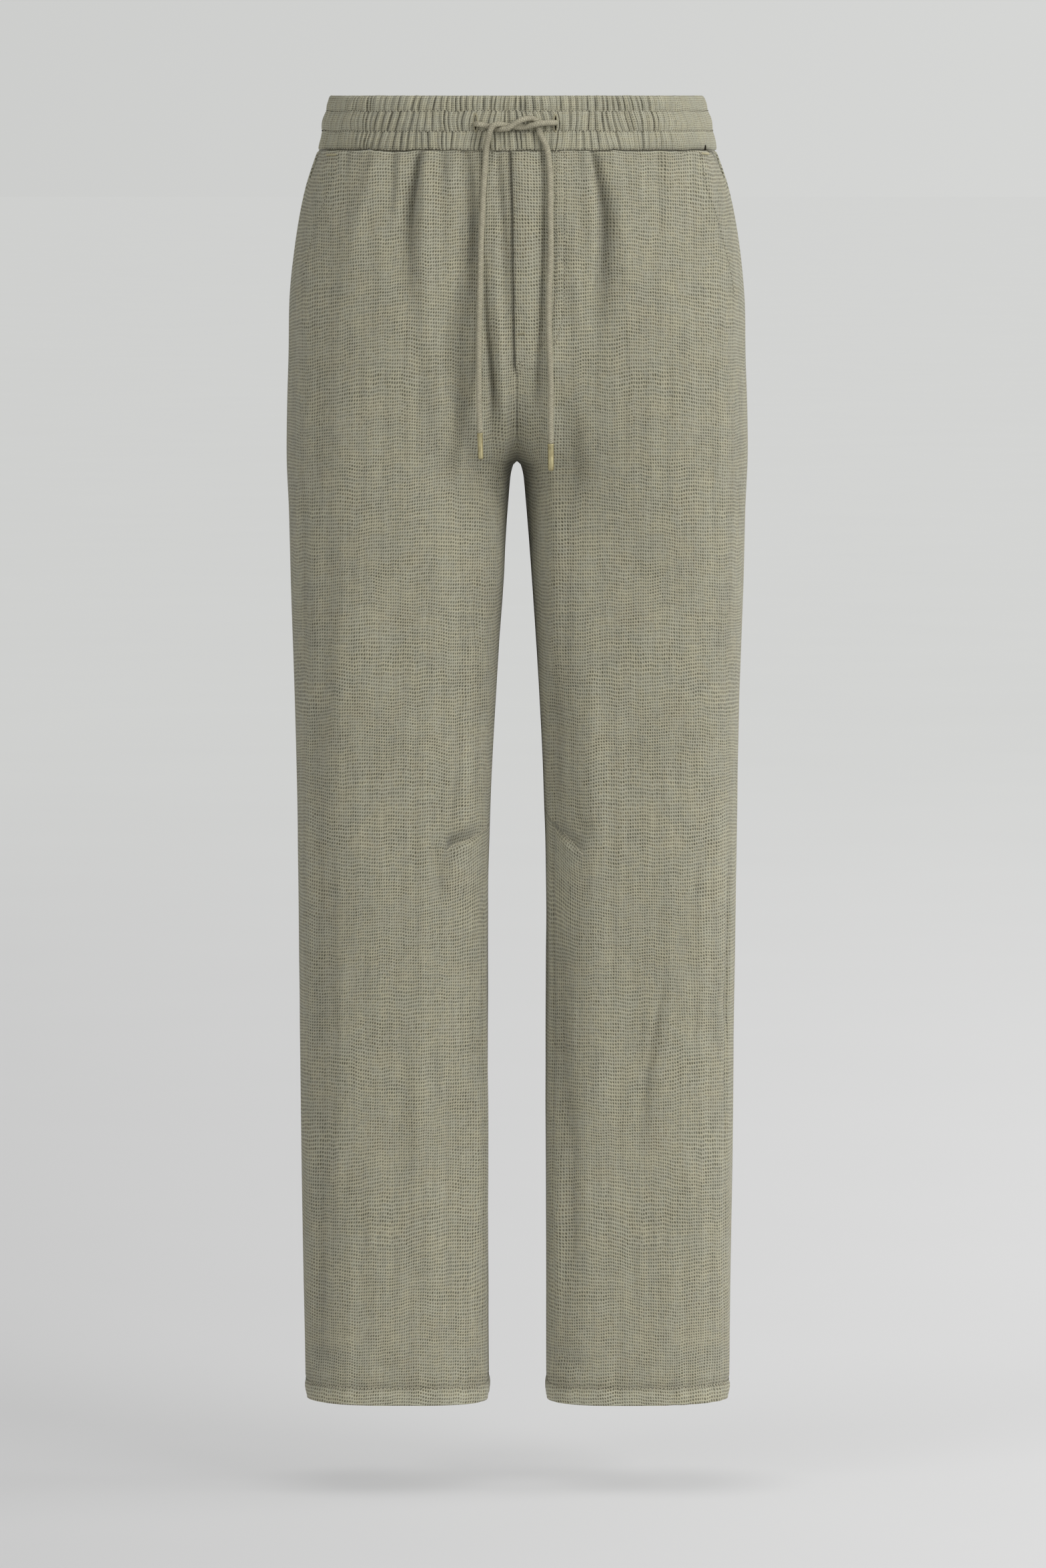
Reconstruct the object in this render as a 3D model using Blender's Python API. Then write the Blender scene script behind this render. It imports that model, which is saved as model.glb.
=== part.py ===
"""Straight trousers with an elasticated, gathered waistband and a tied drawstring, filled out as if worn.

The frame has +Z up, the front facing -Y and the wearer's left at +X. The origin is the middle of the
waistband's top edge. Sizes are in millimetres and become metres when a mesh is made. Left and right are
the wearer's: side is +1 on the left and -1 on the right. face is -1 in front and +1 behind.
"""

import math
from collections import namedtuple

import bmesh
import bpy
from mathutils import Vector
from mathutils.bvhtree import BVHTree

MM = 0.001

# Driving sizes, mm
BAND_HEIGHT = 42.0
CROTCH_Z = -291.0
HEM_Z = -1047.0
HEM_TURNING = 14.0
CLOTH = 1.2
HEM_CLOTH = 2.6
SEAM_GAP = 0.3
CLEAR = 0.3

# Half of the way round at each level: its half width at the side seam, the middle of its leg, the
# inner edge of the leg, the depth in front of the side seam and the depth behind it.
Level = namedtuple("Level", "z outer middle inner front back")
LEVELS = (
    Level(0, 149.5, 0.0, 0.0, 103, 104),
    Level(-42, 159.5, 0.0, 0.0, 109, 112),
    Level(-75, 169.8, 14.0, 0.0, 115, 124),
    Level(-115, 177.3, 34.0, 0.0, 119, 135),
    Level(-160, 182.0, 57.0, 0.0, 122, 143),
    Level(-205, 183.0, 77.0, 0.0, 123, 146),
    Level(-250, 184.0, 90.0, 0.0, 121, 143),
    Level(-291, 184.2, 95.6, 7.0, 118, 134),
    Level(-330, 182.2, 95.4, 8.6, 114, 121),
    Level(-394, 180.8, 96.9, 12.9, 109, 107),
    Level(-480, 178.0, 98.2, 18.4, 103, 97),
    Level(-566, 176.1, 99.3, 22.5, 97, 88),
    Level(-640, 175.0, 99.7, 24.4, 91, 83),
    Level(-760, 173.5, 98.9, 24.2, 80, 81),
    Level(-900, 172.0, 98.4, 24.8, 72, 76),
    Level(-1047, 169.8, 97.4, 25.0, 66, 67),
)
SQUARENESS = 0.025  # how far the outer quarters stand out past an ellipse
VALLEY_TOP_Z = -150.0  # where the hollow between the thighs begins
ARCH_HEIGHT = 18.0  # the rounded top of the gap between the legs

# Soft folds, each a trough along a line on the cloth, or a ridge where depth is negative. head is the
# share of the depth at its top end: 1 where it hangs from a seam, 0 where it dies out upwards too.
FOLD_RISE, FOLD_FALL = 0.35, 0.65  # shares of its length over which it grows and dies out
Fold = namedtuple("Fold", "x_top z_top x_low z_low width depth head")
FRONT_FOLDS = (
    Fold(-133, -42, -131, -92, 7, 2.2, 1),
    Fold(-96, -42, -97, -150, 9, 4.5, 1),
    Fold(-77, -42, -76, -170, 8, -2.0, 1),
    Fold(-20, -42, -22, -210, 7, 4.0, 1),
    Fold(22, -42, 22, -105, 8, 2.0, 1),
    Fold(62, -42, 79, -240, 9, 5.0, 1),
    Fold(92, -42, 98, -170, 9, -1.5, 1),
    Fold(115, -42, 115, -125, 9, 3.0, 1),
    Fold(144, -42, 147, -80, 7, 1.5, 1),
    Fold(-27, -583, -55, -598, 9, 3.0, 1),
    Fold(-50, -570, -47, -598, 8, 2.5, 0),
    Fold(-55, -598, -68, -640, 9, 2.5, 1),
    Fold(24, -570, 37, -590, 9, 2.5, 1),
    Fold(36, -588, 56, -602, 9, 2.0, 0.5),
    Fold(60, -560, 54, -606, 9, 2.4, 0),
    Fold(-92, -740, -55, -880, 15, 2.4, 0),
    Fold(117, -760, 80, -900, 15, 2.8, 0),
)
BACK_FOLDS = (
    Fold(-118, -42, -122, -125, 9, 2.6, 1),
    Fold(-66, -42, -70, -170, 9, 3.8, 1),
    Fold(-24, -42, -26, -110, 8, 2.4, 1),
    Fold(31, -42, 30, -140, 8, 3.0, 1),
    Fold(78, -42, 86, -190, 9, 4.2, 1),
    Fold(124, -42, 128, -105, 9, 2.4, 1),
    Fold(-14, -300, -86, -352, 13, 3.6, 0.4),
    Fold(16, -298, 94, -346, 13, 3.2, 0.4),
    Fold(-44, -592, -120, -606, 11, 3.0, 0),
    Fold(48, -600, 116, -590, 11, 2.6, 0),
    Fold(-60, -800, -112, -905, 15, 2.4, 0),
    Fold(66, -770, 110, -880, 15, 2.6, 0),
)

# The slanted pocket mouth, as an arc's length round the side from the side seam
MouthPoint = namedtuple("MouthPoint", "z from_seam")
POCKET_MOUTH = (
    MouthPoint(-42, 54.0),
    MouthPoint(-70, 34.0),
    MouthPoint(-95, 20.0),
    MouthPoint(-130, 9.0),
    MouthPoint(-165, 3.0),
    MouthPoint(-205, 0.0),
)
FACING_INSET = 1.9  # between the front panel's inside and the pocket facing
FACING_UNDER = 9.0  # how far the facing goes on under the front panel
FACING_BEHIND = 5.0  # and past the side seam
FACING_ROWS, FACING_COLUMNS = 10, 6

# The panels' rows of points run from the waist to the hem in spans. The rows crowd together at the
# inner edge near the crotch by a power.
Span = namedtuple("Span", "top low steps crowding_top crowding_low")
SPANS = (
    Span(-BAND_HEIGHT - SEAM_GAP, CROTCH_Z, 11, 1.0, 1.7),
    Span(CROTCH_Z, -545.0, 6, 1.6, 1.0),
    Span(-545.0, -645.0, 5, 1.0, 1.0),
    Span(-645.0, HEM_Z + HEM_TURNING, 7, 1.0, 1.0),
)
HEM_STEP = 1.5  # the height in which the cloth thickens into the hem
FRONT_COLUMNS, BACK_COLUMNS = 18, 12

# The waistband's height from its top edge: puff is how far each row of points stands out from the
# plain band, and gather how far its gathers go in and out.
BandRow = namedtuple("BandRow", "z puff gather")
BAND_ROWS = (
    BandRow(0.0, -1.3, 0.25),
    BandRow(-1.8, 0.0, 0.60),
    BandRow(-6.5, 0.9, 0.90),
    BandRow(-12.0, -1.5, 0.50),
    BandRow(-20.0, 2.3, 1.00),
    BandRow(-27.8, -0.6, 0.50),
    BandRow(-34.5, 1.3, 0.90),
    BandRow(-42.0, -1.0, 0.40),
)
GATHERS = 132
GATHER_POINTS = 2
INSIDE_SHARE = 4  # outer columns to one column of the plain inside
BAND_INSIDE = 3.2  # the plain inside's depth under the plain band
MOST_GATHER = 1.3  # the most that any gather reaches, as a share of its row's

# The fly facing on the left front, held by a J of stitching
FLY_EDGE_X = -2.5
FLY_WIDTH = 42.5
FLY_CURVE_Z = -175.0
FLY_CURVE_HEIGHT = 44.0
FLY_LOW_Z = -217.6
FLY_THICKNESS = 1.0
FLY_LIFT = 0.8
FLY_STRAIGHT_ROWS, FLY_CURVED_ROWS, FLY_COLUMNS = 7, 6, 6

# Drawstring: a braided cord in two lengths, each out of its own buttonhole and tied in a half knot.
CORD_DIAMETER = 4.4
Via = namedtuple("Via", "x y z")
RIGHT_CORD = (
    Via(-29.8, -109.5, -22.6),
    Via(-24.6, -109.8, -23.6),
    Via(-19.6, -109.8, -25.0),
    Via(-15.2, -111.3, -26.8),
    Via(-11.4, -113.9, -26.9),
    Via(-7.4, -115.2, -25.6),
    Via(-2.2, -116.2, -22.4),
    Via(3.2, -116.3, -19.2),
    Via(8.0, -113.6, -17.2),
    Via(12.6, -111.1, -17.4),
    Via(16.0, -111.5, -20.6),
    Via(17.0, -110.2, -25.8),
    Via(19.6, -111.3, -32.4),
    Via(23.2, -111.7, -40.0),
    Via(25.4, -113.9, -52.0),
    Via(26.2, -117.0, -68.0),
    Via(26.3, -120.7, -92.0),
    Via(26.6, -123.5, -120.0),
    Via(25.4, -125.8, -153.0),
    Via(25.6, -127.4, -193.0),
    Via(26.8, -127.7, -228.0),
    Via(26.6, -127.7, -252.0),
    Via(26.7, -127.7, -273.0),
)
LEFT_CORD = (
    Via(28.4, -110.6, -21.2),
    Via(22.4, -114.5, -21.4),
    Via(16.8, -116.3, -22.0),
    Via(11.6, -114.2, -23.4),
    Via(6.0, -111.5, -24.6),
    Via(0.6, -110.9, -24.8),
    Via(-4.6, -111.0, -23.8),
    Via(-9.6, -112.0, -21.6),
    Via(-14.4, -114.7, -20.6),
    Via(-18.6, -115.5, -22.8),
    Via(-21.0, -115.7, -27.6),
    Via(-22.6, -114.1, -33.6),
    Via(-24.0, -111.8, -42.0),
    Via(-25.2, -112.6, -56.0),
    Via(-26.6, -116.4, -82.0),
    Via(-28.2, -120.2, -118.0),
    Via(-29.1, -123.2, -153.0),
    Via(-29.8, -125.8, -203.0),
    Via(-29.8, -126.2, -240.0),
    Via(-29.1, -126.2, -264.6),
)
KNOT_LOW_Z = -50.0
KNOT_SPACING, HANG_SPACING = 3.6, 11.5

# Cord ends of brass: a lip at the cord, a plain barrel and a rounded foot
TurnedRow = namedtuple("TurnedRow", "along radius")
LEFT_AGLET, RIGHT_AGLET = (20.8, 4.3), (21.6, 4.9)  # length, diameter
AGLET_LIP = 0.25
AGLET_SIDES = 12


def aglet_profile(length, radius):
    return (
        TurnedRow(0.0, radius - 0.1),
        TurnedRow(0.4, radius + AGLET_LIP),
        TurnedRow(1.2, radius + AGLET_LIP),
        TurnedRow(1.7, radius),
        TurnedRow(length - radius * 0.8, radius),
        TurnedRow(length - radius * 0.25, radius * 0.8),
        TurnedRow(length, radius * 0.35),
    )


# Worked buttonholes: x and z of the middle, then half sizes of the thread rim and of the slit in it
BUTTONHOLES = {"left": (30.4, -21.6), "right": (-32.6, -21.2)}
RIM_HALF_HEIGHT, RIM_HALF_WIDTH = 7.6, 1.5
SLIT_HALF_HEIGHT, SLIT_HALF_WIDTH = 6.3, 0.5
RIM_THICKNESS = 0.9
RIM_POINTS = 20

SHARP_EDGE = math.radians(50)  # an edge that turns more than this is shaded as an edge

# Linear colours
KHAKI = (0.262, 0.246, 0.186)
KHAKI_LIGHT = (0.305, 0.286, 0.222)
BRASS = (0.42, 0.34, 0.17)


# Curves and sections


def clamp(value):
    return min(max(value, 0.0), 1.0)


def ease(value):
    value = clamp(value)
    return value * value * (3 - 2 * value)


def between(rows, z, column):
    """A column of a table at z, on straight lines between its rows."""
    for upper, lower in zip(rows, rows[1:]):
        if z >= lower.z:
            break
    share = clamp((upper.z - z) / (upper.z - lower.z))
    return getattr(upper, column) * (1 - share) + getattr(lower, column) * share


def smooth_between(rows, z, column):
    """A column of a table at z, on a smooth curve through its rows."""
    count = len(rows)
    low = next((i for i in range(1, count) if z >= rows[i].z), count - 1)
    high = low - 1

    def value(i):
        return getattr(rows[i], column)

    def slope(i):
        a, b = max(i - 1, 0), min(i + 1, count - 1)
        return (value(b) - value(a)) / (rows[b].z - rows[a].z)

    step = rows[low].z - rows[high].z
    s = clamp((z - rows[high].z) / step)
    s2, s3 = s * s, s * s * s
    return (
        value(high) * (2 * s3 - 3 * s2 + 1)
        + value(low) * (3 * s2 - 2 * s3)
        + step * slope(high) * (s3 - 2 * s2 + s)
        + step * slope(low) * (s3 - s2)
    )


Section = namedtuple("Section", "outer middle inner front back dip end")


def section_at(z):
    """Half of the way round at height z. From the side seam it is a quarter of an ellipse round middle,
    and from there inwards a part of another that has turned by dip at the centre seam or inseam.
    end is where the inner part ends, when the outer quarter has a length of 1."""
    outer, middle, inner, front, back = (
        smooth_between(LEVELS, z, column) for column in Level._fields[1:]
    )
    if z > CROTCH_Z:
        inner = 0.0
        dip = math.asin(clamp((VALLEY_TOP_Z - z) / (VALLEY_TOP_Z - CROTCH_Z)) ** 2)
    else:
        rise = clamp((CROTCH_Z - z) / ARCH_HEIGHT)
        inner *= math.sqrt(1 - (1 - rise) ** 2)
        dip = math.pi / 2
    return Section(outer, middle, inner, front, back, dip, 1 + middle / (outer - middle))


def fold_depth(folds, x, z):
    """How far the folds draw the cloth in at a point."""
    total = 0.0
    for fold in folds:
        run_x, run_z = fold.x_low - fold.x_top, fold.z_low - fold.z_top
        along = ((x - fold.x_top) * run_x + (z - fold.z_top) * run_z) / (run_x**2 + run_z**2)
        along = clamp(along)
        away_x = x - fold.x_top - along * run_x
        away_z = z - fold.z_top - along * run_z
        near = math.exp(-(away_x**2 + away_z**2) / (2 * fold.width**2))
        rise = fold.head + (1 - fold.head) * ease(along / FOLD_RISE)
        total += fold.depth * near * rise * ease((1 - along) / FOLD_FALL)
    return total


def surface_point(side, face, way, z, inset=0.0):
    """The cloth's outer surface at height z. way is how far round it is from the side seam: 1 at the
    end of the outer quarter, and the section's end at the centre seam or inseam."""
    section = section_at(z)
    depth = section.front if face < 0 else section.back
    if way < 1:
        turn = way * math.pi / 2
        half = section.outer - section.middle
        square = 1 + SQUARENESS * math.sin(2 * turn) ** 2
        x = section.middle + half * math.cos(turn) * square
        y = depth * math.sin(turn) * square
        out = Vector((math.cos(turn) / half, math.sin(turn) / depth)).normalized()
    else:
        turn = (way - 1) / max(section.end - 1, 0.001) * max(section.dip, 0.001)
        half = (section.middle - section.inner) / math.sin(max(section.dip, 0.001))
        x = section.middle - half * math.sin(turn)
        y = depth * math.cos(turn)
        out = Vector((-depth * math.sin(turn), max(half, 0.001) * math.cos(turn))).normalized()
    folds = FRONT_FOLDS if face < 0 else BACK_FOLDS
    sink = inset + fold_depth(folds, side * x, z)
    return Vector((side * (x - out.x * sink), face * (y - out.y * sink), z))


def mouth_way(z):
    """How far round the pocket mouth is from the side seam, 0 below the pocket."""
    angle = smooth_between(POCKET_MOUTH, z, "from_seam") / section_at(z).front
    return max(angle, 0.0) / (math.pi / 2)


def band_front(x, z):
    """How far in front of the middle the gathered band reaches at x and z."""
    outer = between(LEVELS, z, "outer")
    front = between(LEVELS, z, "front")
    puff = between(BAND_ROWS, z, "puff") + MOST_GATHER * between(BAND_ROWS, z, "gather")
    return front * math.sqrt(1 - (x / outer) ** 2) + puff


# Objects


def make_material(name, colour, roughness, metallic=0.0):
    material = bpy.data.materials.new(name)
    material.use_nodes = True
    shader = material.node_tree.nodes["Principled BSDF"]
    shader.inputs["Base Color"].default_value = (*colour, 1)
    shader.inputs["Roughness"].default_value = roughness
    shader.inputs["Metallic"].default_value = metallic
    return material


def add_object(name, data, material, parent):
    obj = bpy.data.objects.new(name, data)
    bpy.context.scene.collection.objects.link(obj)
    obj.parent = parent
    data.materials.append(material)
    return obj


def mesh_from(name, points, faces):
    """A smooth-shaded mesh of points in millimetres, its faces turned outwards."""
    mesh = bpy.data.meshes.new(name)
    mesh.from_pydata([tuple(p * MM) for p in points], [], faces)
    shape = bmesh.new()
    shape.from_mesh(mesh)
    bmesh.ops.recalc_face_normals(shape, faces=shape.faces)
    shape.to_mesh(mesh)
    shape.free()
    mesh.shade_smooth()
    mesh.set_sharp_from_angle(angle=SHARP_EDGE)
    return mesh


def grid_normals(grid):
    """A unit normal at each point of a grid, from the quads round it."""
    rows, columns = len(grid), len(grid[0])
    normals = [[Vector((0, 0, 0)) for _ in range(columns)] for _ in range(rows)]
    for r in range(rows - 1):
        for c in range(columns - 1):
            corners = ((r, c), (r, c + 1), (r + 1, c + 1), (r + 1, c))
            a, b, p, q = (grid[i][j] for i, j in corners)
            across = (p - a).cross(q - b)
            for i, j in corners:
                normals[i][j] += across
    return [[n.normalized() for n in row] for row in normals]


def wall_faces(rows, columns):
    """Faces of a wall whose outer grid's points come first and its inner grid's next."""
    size = rows * columns
    faces = []
    for r in range(rows - 1):
        for c in range(columns - 1):
            a = r * columns + c
            quad = (a, a + 1, a + columns + 1, a + columns)
            faces.append(quad)
            faces.append(tuple(size + i for i in reversed(quad)))
    rim = list(range(columns))
    rim += [r * columns + columns - 1 for r in range(1, rows)]
    rim += [(rows - 1) * columns + c for c in range(columns - 2, -1, -1)]
    rim += [r * columns for r in range(rows - 2, 0, -1)]
    for a, b in zip(rim, rim[1:] + rim[:1]):
        faces.append((a, a + size, b + size, b))
    return faces


# Legs


def panel_rows():
    """Each row's height at the side seam and at the inner edge, and its cloth's thickness."""
    rows = [(SPANS[0].top, SPANS[0].top, CLOTH)]
    for span in SPANS:
        for i in range(1, span.steps + 1):
            share = i / span.steps
            inner = share**span.crowding_top if span.crowding_top > 1 else share
            if span.crowding_low > 1:
                inner = 1 - (1 - share) ** span.crowding_low
            drop = span.low - span.top
            rows.append((span.top + drop * share, span.top + drop * inner, CLOTH))
    hem_top = HEM_Z + HEM_TURNING - HEM_STEP
    rows.append((hem_top, hem_top, HEM_CLOTH))
    rows.append((HEM_Z, HEM_Z, HEM_CLOTH))
    return rows


def keep_to_side(point, side, face):
    """Holds a point half a seam gap clear of the centre seam, and of the side seam and inseam."""
    half_gap = SEAM_GAP / 2
    point.x = side * max(side * point.x, half_gap)
    point.y = face * max(face * point.y, half_gap)
    return point


def leg_panel(name, side, face, material, parent):
    """Half of the front or of the back, from the waistband to the hem, with its own thickness."""
    columns = FRONT_COLUMNS if face < 0 else BACK_COLUMNS
    rows = panel_rows()
    outer = []
    for side_z, inner_z, _ in rows:
        line = []
        for c in range(columns + 1):
            share = c / columns
            z = side_z + (inner_z - side_z) * share**2
            start = mouth_way(z) if face < 0 else 0.0
            way = start + (section_at(z).end - start) * share
            line.append(keep_to_side(surface_point(side, face, way, z), side, face))
        outer.append(line)
    normals = grid_normals(outer)
    towards_inside = -1 if normals[0][columns // 2].y * face > 0 else 1
    inner = []
    for line, row_normals, (_, _, thickness) in zip(outer, normals, rows):
        moved = [p + n * (towards_inside * thickness) for p, n in zip(line, row_normals)]
        for point, start in zip(moved, line):
            keep_to_side(point, side, face)
            if line in (outer[0], outer[-1]):
                point.z = start.z
        inner.append(moved)
    points = [p for grid in (outer, inner) for line in grid for p in line]
    mesh = mesh_from(name, points, wall_faces(len(rows), columns + 1))
    return add_object(name, mesh, material, parent)


def pocket_facing(name, side, material, parent):
    """The cloth behind the slanted mouth: a curved strip just inside the front panel, from under its
    edge to a little past the side seam."""
    top, low = POCKET_MOUTH[0].z - SEAM_GAP * 2, POCKET_MOUTH[-1].z
    outer, inner = [], []
    for r in range(FACING_ROWS + 1):
        z = top + (low - top) * r / FACING_ROWS
        quarter = math.pi / 2
        reach = mouth_way(z) + FACING_UNDER / section_at(z).front / quarter
        behind = FACING_BEHIND / section_at(z).back / quarter
        lines = ([], [])
        for c in range(FACING_COLUMNS + 1):
            way = -behind + (reach + behind) * c / FACING_COLUMNS
            face = -1 if way > 0 else 1
            for line, depth in zip(lines, (0.0, CLOTH)):
                inset = CLOTH + FACING_INSET + depth
                line.append(surface_point(side, face, abs(way), z, inset))
        outer.append(lines[0])
        inner.append(lines[1])
    points = [p for grid in (outer, inner) for line in grid for p in line]
    mesh = mesh_from(name, points, wall_faces(FACING_ROWS + 1, FACING_COLUMNS + 1))
    return add_object(name, mesh, material, parent)


# Waistband


def even_turns(count):
    """Angles round the band that share its length evenly, from the left side."""
    fine = 2880
    outer = between(LEVELS, -BAND_HEIGHT / 2, "outer")
    front = between(LEVELS, -BAND_HEIGHT / 2, "front")
    turns = [2 * math.pi * i / fine for i in range(fine + 1)]
    spots = [Vector((outer * math.cos(t), front * math.sin(t))) for t in turns]
    lengths = [0.0]
    for a, b in zip(spots, spots[1:]):
        lengths.append(lengths[-1] + (b - a).length)
    found, at = [], 0
    for i in range(count):
        while lengths[at + 1] < lengths[-1] * i / count:
            at += 1
        found.append(turns[at])
    return found


def uneven(index, row):
    """A share near 1 that differs from gather to gather and a little from row to row."""
    return 1 + 0.2 * math.sin(index * 2.4) + 0.1 * math.sin(index * 5.3 + row * 1.7)


def band_point(turn, z, stand_out):
    outer = between(LEVELS, z, "outer")
    depth = between(LEVELS, z, "front" if math.sin(turn) < 0 else "back")
    out = Vector((math.cos(turn) / outer, math.sin(turn) / depth)).normalized() * stand_out
    return Vector((outer * math.cos(turn) + out.x, depth * math.sin(turn) + out.y, z))


def waistband(name, material, parent):
    """A closed ring: three puffed channels of fine gathers outside, plain inside."""
    columns = GATHERS * GATHER_POINTS
    turns = even_turns(columns)
    points, faces = [], []
    for r, row in enumerate(BAND_ROWS):
        for c, turn in enumerate(turns):
            sign = 1 if c % GATHER_POINTS else -1
            gather = sign * row.gather * uneven(c // GATHER_POINTS, r)
            points.append(band_point(turn, row.z, row.puff + gather))
    inside = columns // INSIDE_SHARE
    top_inside, low_inside = len(points), len(points) + inside
    for z in (BAND_ROWS[0].z, BAND_ROWS[-1].z):
        points += [band_point(turns[c * INSIDE_SHARE], z, -BAND_INSIDE) for c in range(inside)]
    for r in range(len(BAND_ROWS) - 1):
        for c in range(columns):
            a, b = r * columns + c, r * columns + (c + 1) % columns
            faces.append((a, b, b + columns, a + columns))
    last = (len(BAND_ROWS) - 1) * columns
    for k in range(inside):
        after = (k + 1) % inside
        edge = [(k * INSIDE_SHARE + i) % columns for i in range(INSIDE_SHARE + 1)]
        faces.append((*edge, top_inside + after, top_inside + k))
        faces.append((*[last + c for c in reversed(edge)], low_inside + k, low_inside + after))
        faces.append((top_inside + k, top_inside + after, low_inside + after, low_inside + k))
    return add_object(name, mesh_from(name, points, faces), material, parent)


def buttonhole(name, middle_x, middle_z, material, parent):
    """A tall, narrow rim of thread round a slit, following the band's middle puff."""
    loops = (
        (RIM_HALF_WIDTH, RIM_HALF_HEIGHT, CLEAR),
        (RIM_HALF_WIDTH, RIM_HALF_HEIGHT, CLEAR + RIM_THICKNESS),
        (SLIT_HALF_WIDTH, SLIT_HALF_HEIGHT, CLEAR + RIM_THICKNESS),
        (SLIT_HALF_WIDTH, SLIT_HALF_HEIGHT, CLEAR),
    )
    points, faces = [], []
    for half_width, half_height, lift in loops:
        for i in range(RIM_POINTS):
            angle = 2 * math.pi * i / RIM_POINTS
            x = middle_x + half_width * math.cos(angle)
            z = middle_z + half_height * math.sin(angle)
            points.append(Vector((x, -band_front(x, z) - lift, z)))
    for loop in range(len(loops)):
        following = (loop + 1) % len(loops)
        for i in range(RIM_POINTS):
            j = (i + 1) % RIM_POINTS
            a, b = loop * RIM_POINTS, following * RIM_POINTS
            faces.append((a + i, a + j, b + j, b + i))
    return add_object(name, mesh_from(name, points, faces), material, parent)


# Fly


def front_finder(panels):
    """A function that finds the front panels' own faceted surface at x and z."""
    trees = []
    for panel in panels:
        shape = bmesh.new()
        shape.from_mesh(panel.data)
        trees.append(BVHTree.FromBMesh(shape))
        shape.free()

    def find(x, z):
        start = Vector((x * MM, -1, z * MM))
        hits = [tree.ray_cast(start, Vector((0, 1, 0)))[0] for tree in trees]
        return min(hit.y for hit in hits if hit is not None) / MM

    return find


def fly_placket(name, find_front, material, parent):
    """The facing's outline on the left front: a straight strip that curves in to the seam below."""
    straight = [
        -BAND_HEIGHT - SEAM_GAP + (FLY_CURVE_Z + BAND_HEIGHT + SEAM_GAP) * i / FLY_STRAIGHT_ROWS
        for i in range(FLY_STRAIGHT_ROWS + 1)
    ]
    most = math.asin((FLY_CURVE_Z - FLY_LOW_Z) / FLY_CURVE_HEIGHT)
    curved = [
        FLY_CURVE_Z - FLY_CURVE_HEIGHT * math.sin(most * i / FLY_CURVED_ROWS)
        for i in range(1, FLY_CURVED_ROWS + 1)
    ]
    outer, inner = [], []
    for z in straight + curved:
        below = max(0.0, (FLY_CURVE_Z - z) / FLY_CURVE_HEIGHT)
        width = FLY_WIDTH * math.sqrt(1 - below**2)
        xs = [FLY_EDGE_X + width * c / FLY_COLUMNS for c in range(FLY_COLUMNS + 1)]
        ys = [find_front(x, z) - FLY_LIFT for x in xs]
        outer.append([Vector((x, y - FLY_THICKNESS, z)) for x, y in zip(xs, ys)])
        inner.append([Vector((x, y, z)) for x, y in zip(xs, ys)])
    points = [p for grid in (outer, inner) for line in grid for p in line]
    mesh = mesh_from(name, points, wall_faces(len(outer), FLY_COLUMNS + 1))
    return add_object(name, mesh, material, parent)


# Drawstring


def smooth_curve(route, steps=24):
    """Closely spaced points on a curve through the route, its speed following the spacing."""
    ends = [2 * route[0] - route[1], *route, 2 * route[-1] - route[-2]]
    fine = []
    for p0, p1, p2, p3 in zip(ends, ends[1:], ends[2:], ends[3:]):
        d0, d1, d2 = ((b - a).length ** 0.5 for a, b in ((p0, p1), (p1, p2), (p2, p3)))
        m1 = (p2 - p1) + d1 * ((p1 - p0) / d0 - (p2 - p0) / (d0 + d1))
        m2 = (p2 - p1) + d1 * ((p3 - p2) / d2 - (p3 - p1) / (d1 + d2))
        for i in range(steps):
            s = i / steps
            s2, s3 = s * s, s * s * s
            fine.append(
                p1 * (2 * s3 - 3 * s2 + 1) + m1 * (s3 - 2 * s2 + s)
                + p2 * (3 * s2 - 2 * s3) + m2 * (s3 - s2)
            )
    fine.append(route[-1])
    return fine


def spaced(fine):
    """Points picked off the fine curve, closer in the knot than along the hanging length."""
    kept, gone = [fine[0]], 0.0
    for a, b in zip(fine, fine[1:]):
        gone += (b - a).length
        if gone >= (KNOT_SPACING if b.z > KNOT_LOW_Z else HANG_SPACING):
            kept.append(b)
            gone = 0.0
    if gone < HANG_SPACING / 2:
        kept.pop()
    return [*kept, fine[-1]]


def drawstring(name, vias, material, parent):
    """A round cord along its route. Returns its object and its last two points."""
    points = spaced(smooth_curve([Vector(via) for via in vias]))
    curve = bpy.data.curves.new(name, "CURVE")
    curve.dimensions = "3D"
    curve.bevel_depth = CORD_DIAMETER / 2 * MM
    curve.bevel_resolution = 2
    curve.use_fill_caps = True
    line = curve.splines.new("POLY")
    line.points.add(len(points) - 1)
    for spot, point in zip(line.points, points):
        spot.co = (*(point * MM), 1)
    return add_object(name, curve, material, parent), points[-2], points[-1]


def aglet(name, size, before, end, material, parent):
    """A turned end in line with the cord, a small gap below it."""
    length, diameter = size
    profile = aglet_profile(length, diameter / 2)
    along = (end - before).normalized()
    across = along.cross(Vector((0, 1, 0))).normalized()
    other = along.cross(across)
    start = end + along * CLEAR
    points, faces = [], []
    for row in profile:
        for i in range(AGLET_SIDES):
            angle = 2 * math.pi * i / AGLET_SIDES
            spoke = across * math.cos(angle) + other * math.sin(angle)
            points.append(start + along * row.along + spoke * row.radius)
    for r in range(len(profile) - 1):
        for i in range(AGLET_SIDES):
            a, b = r * AGLET_SIDES + i, r * AGLET_SIDES + (i + 1) % AGLET_SIDES
            faces.append((a, b, b + AGLET_SIDES, a + AGLET_SIDES))
    first_of_last = (len(profile) - 1) * AGLET_SIDES
    faces.append(tuple(range(AGLET_SIDES)))
    faces.append(tuple(range(first_of_last, first_of_last + AGLET_SIDES)))
    return add_object(name, mesh_from(name, points, faces), material, parent)


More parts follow.
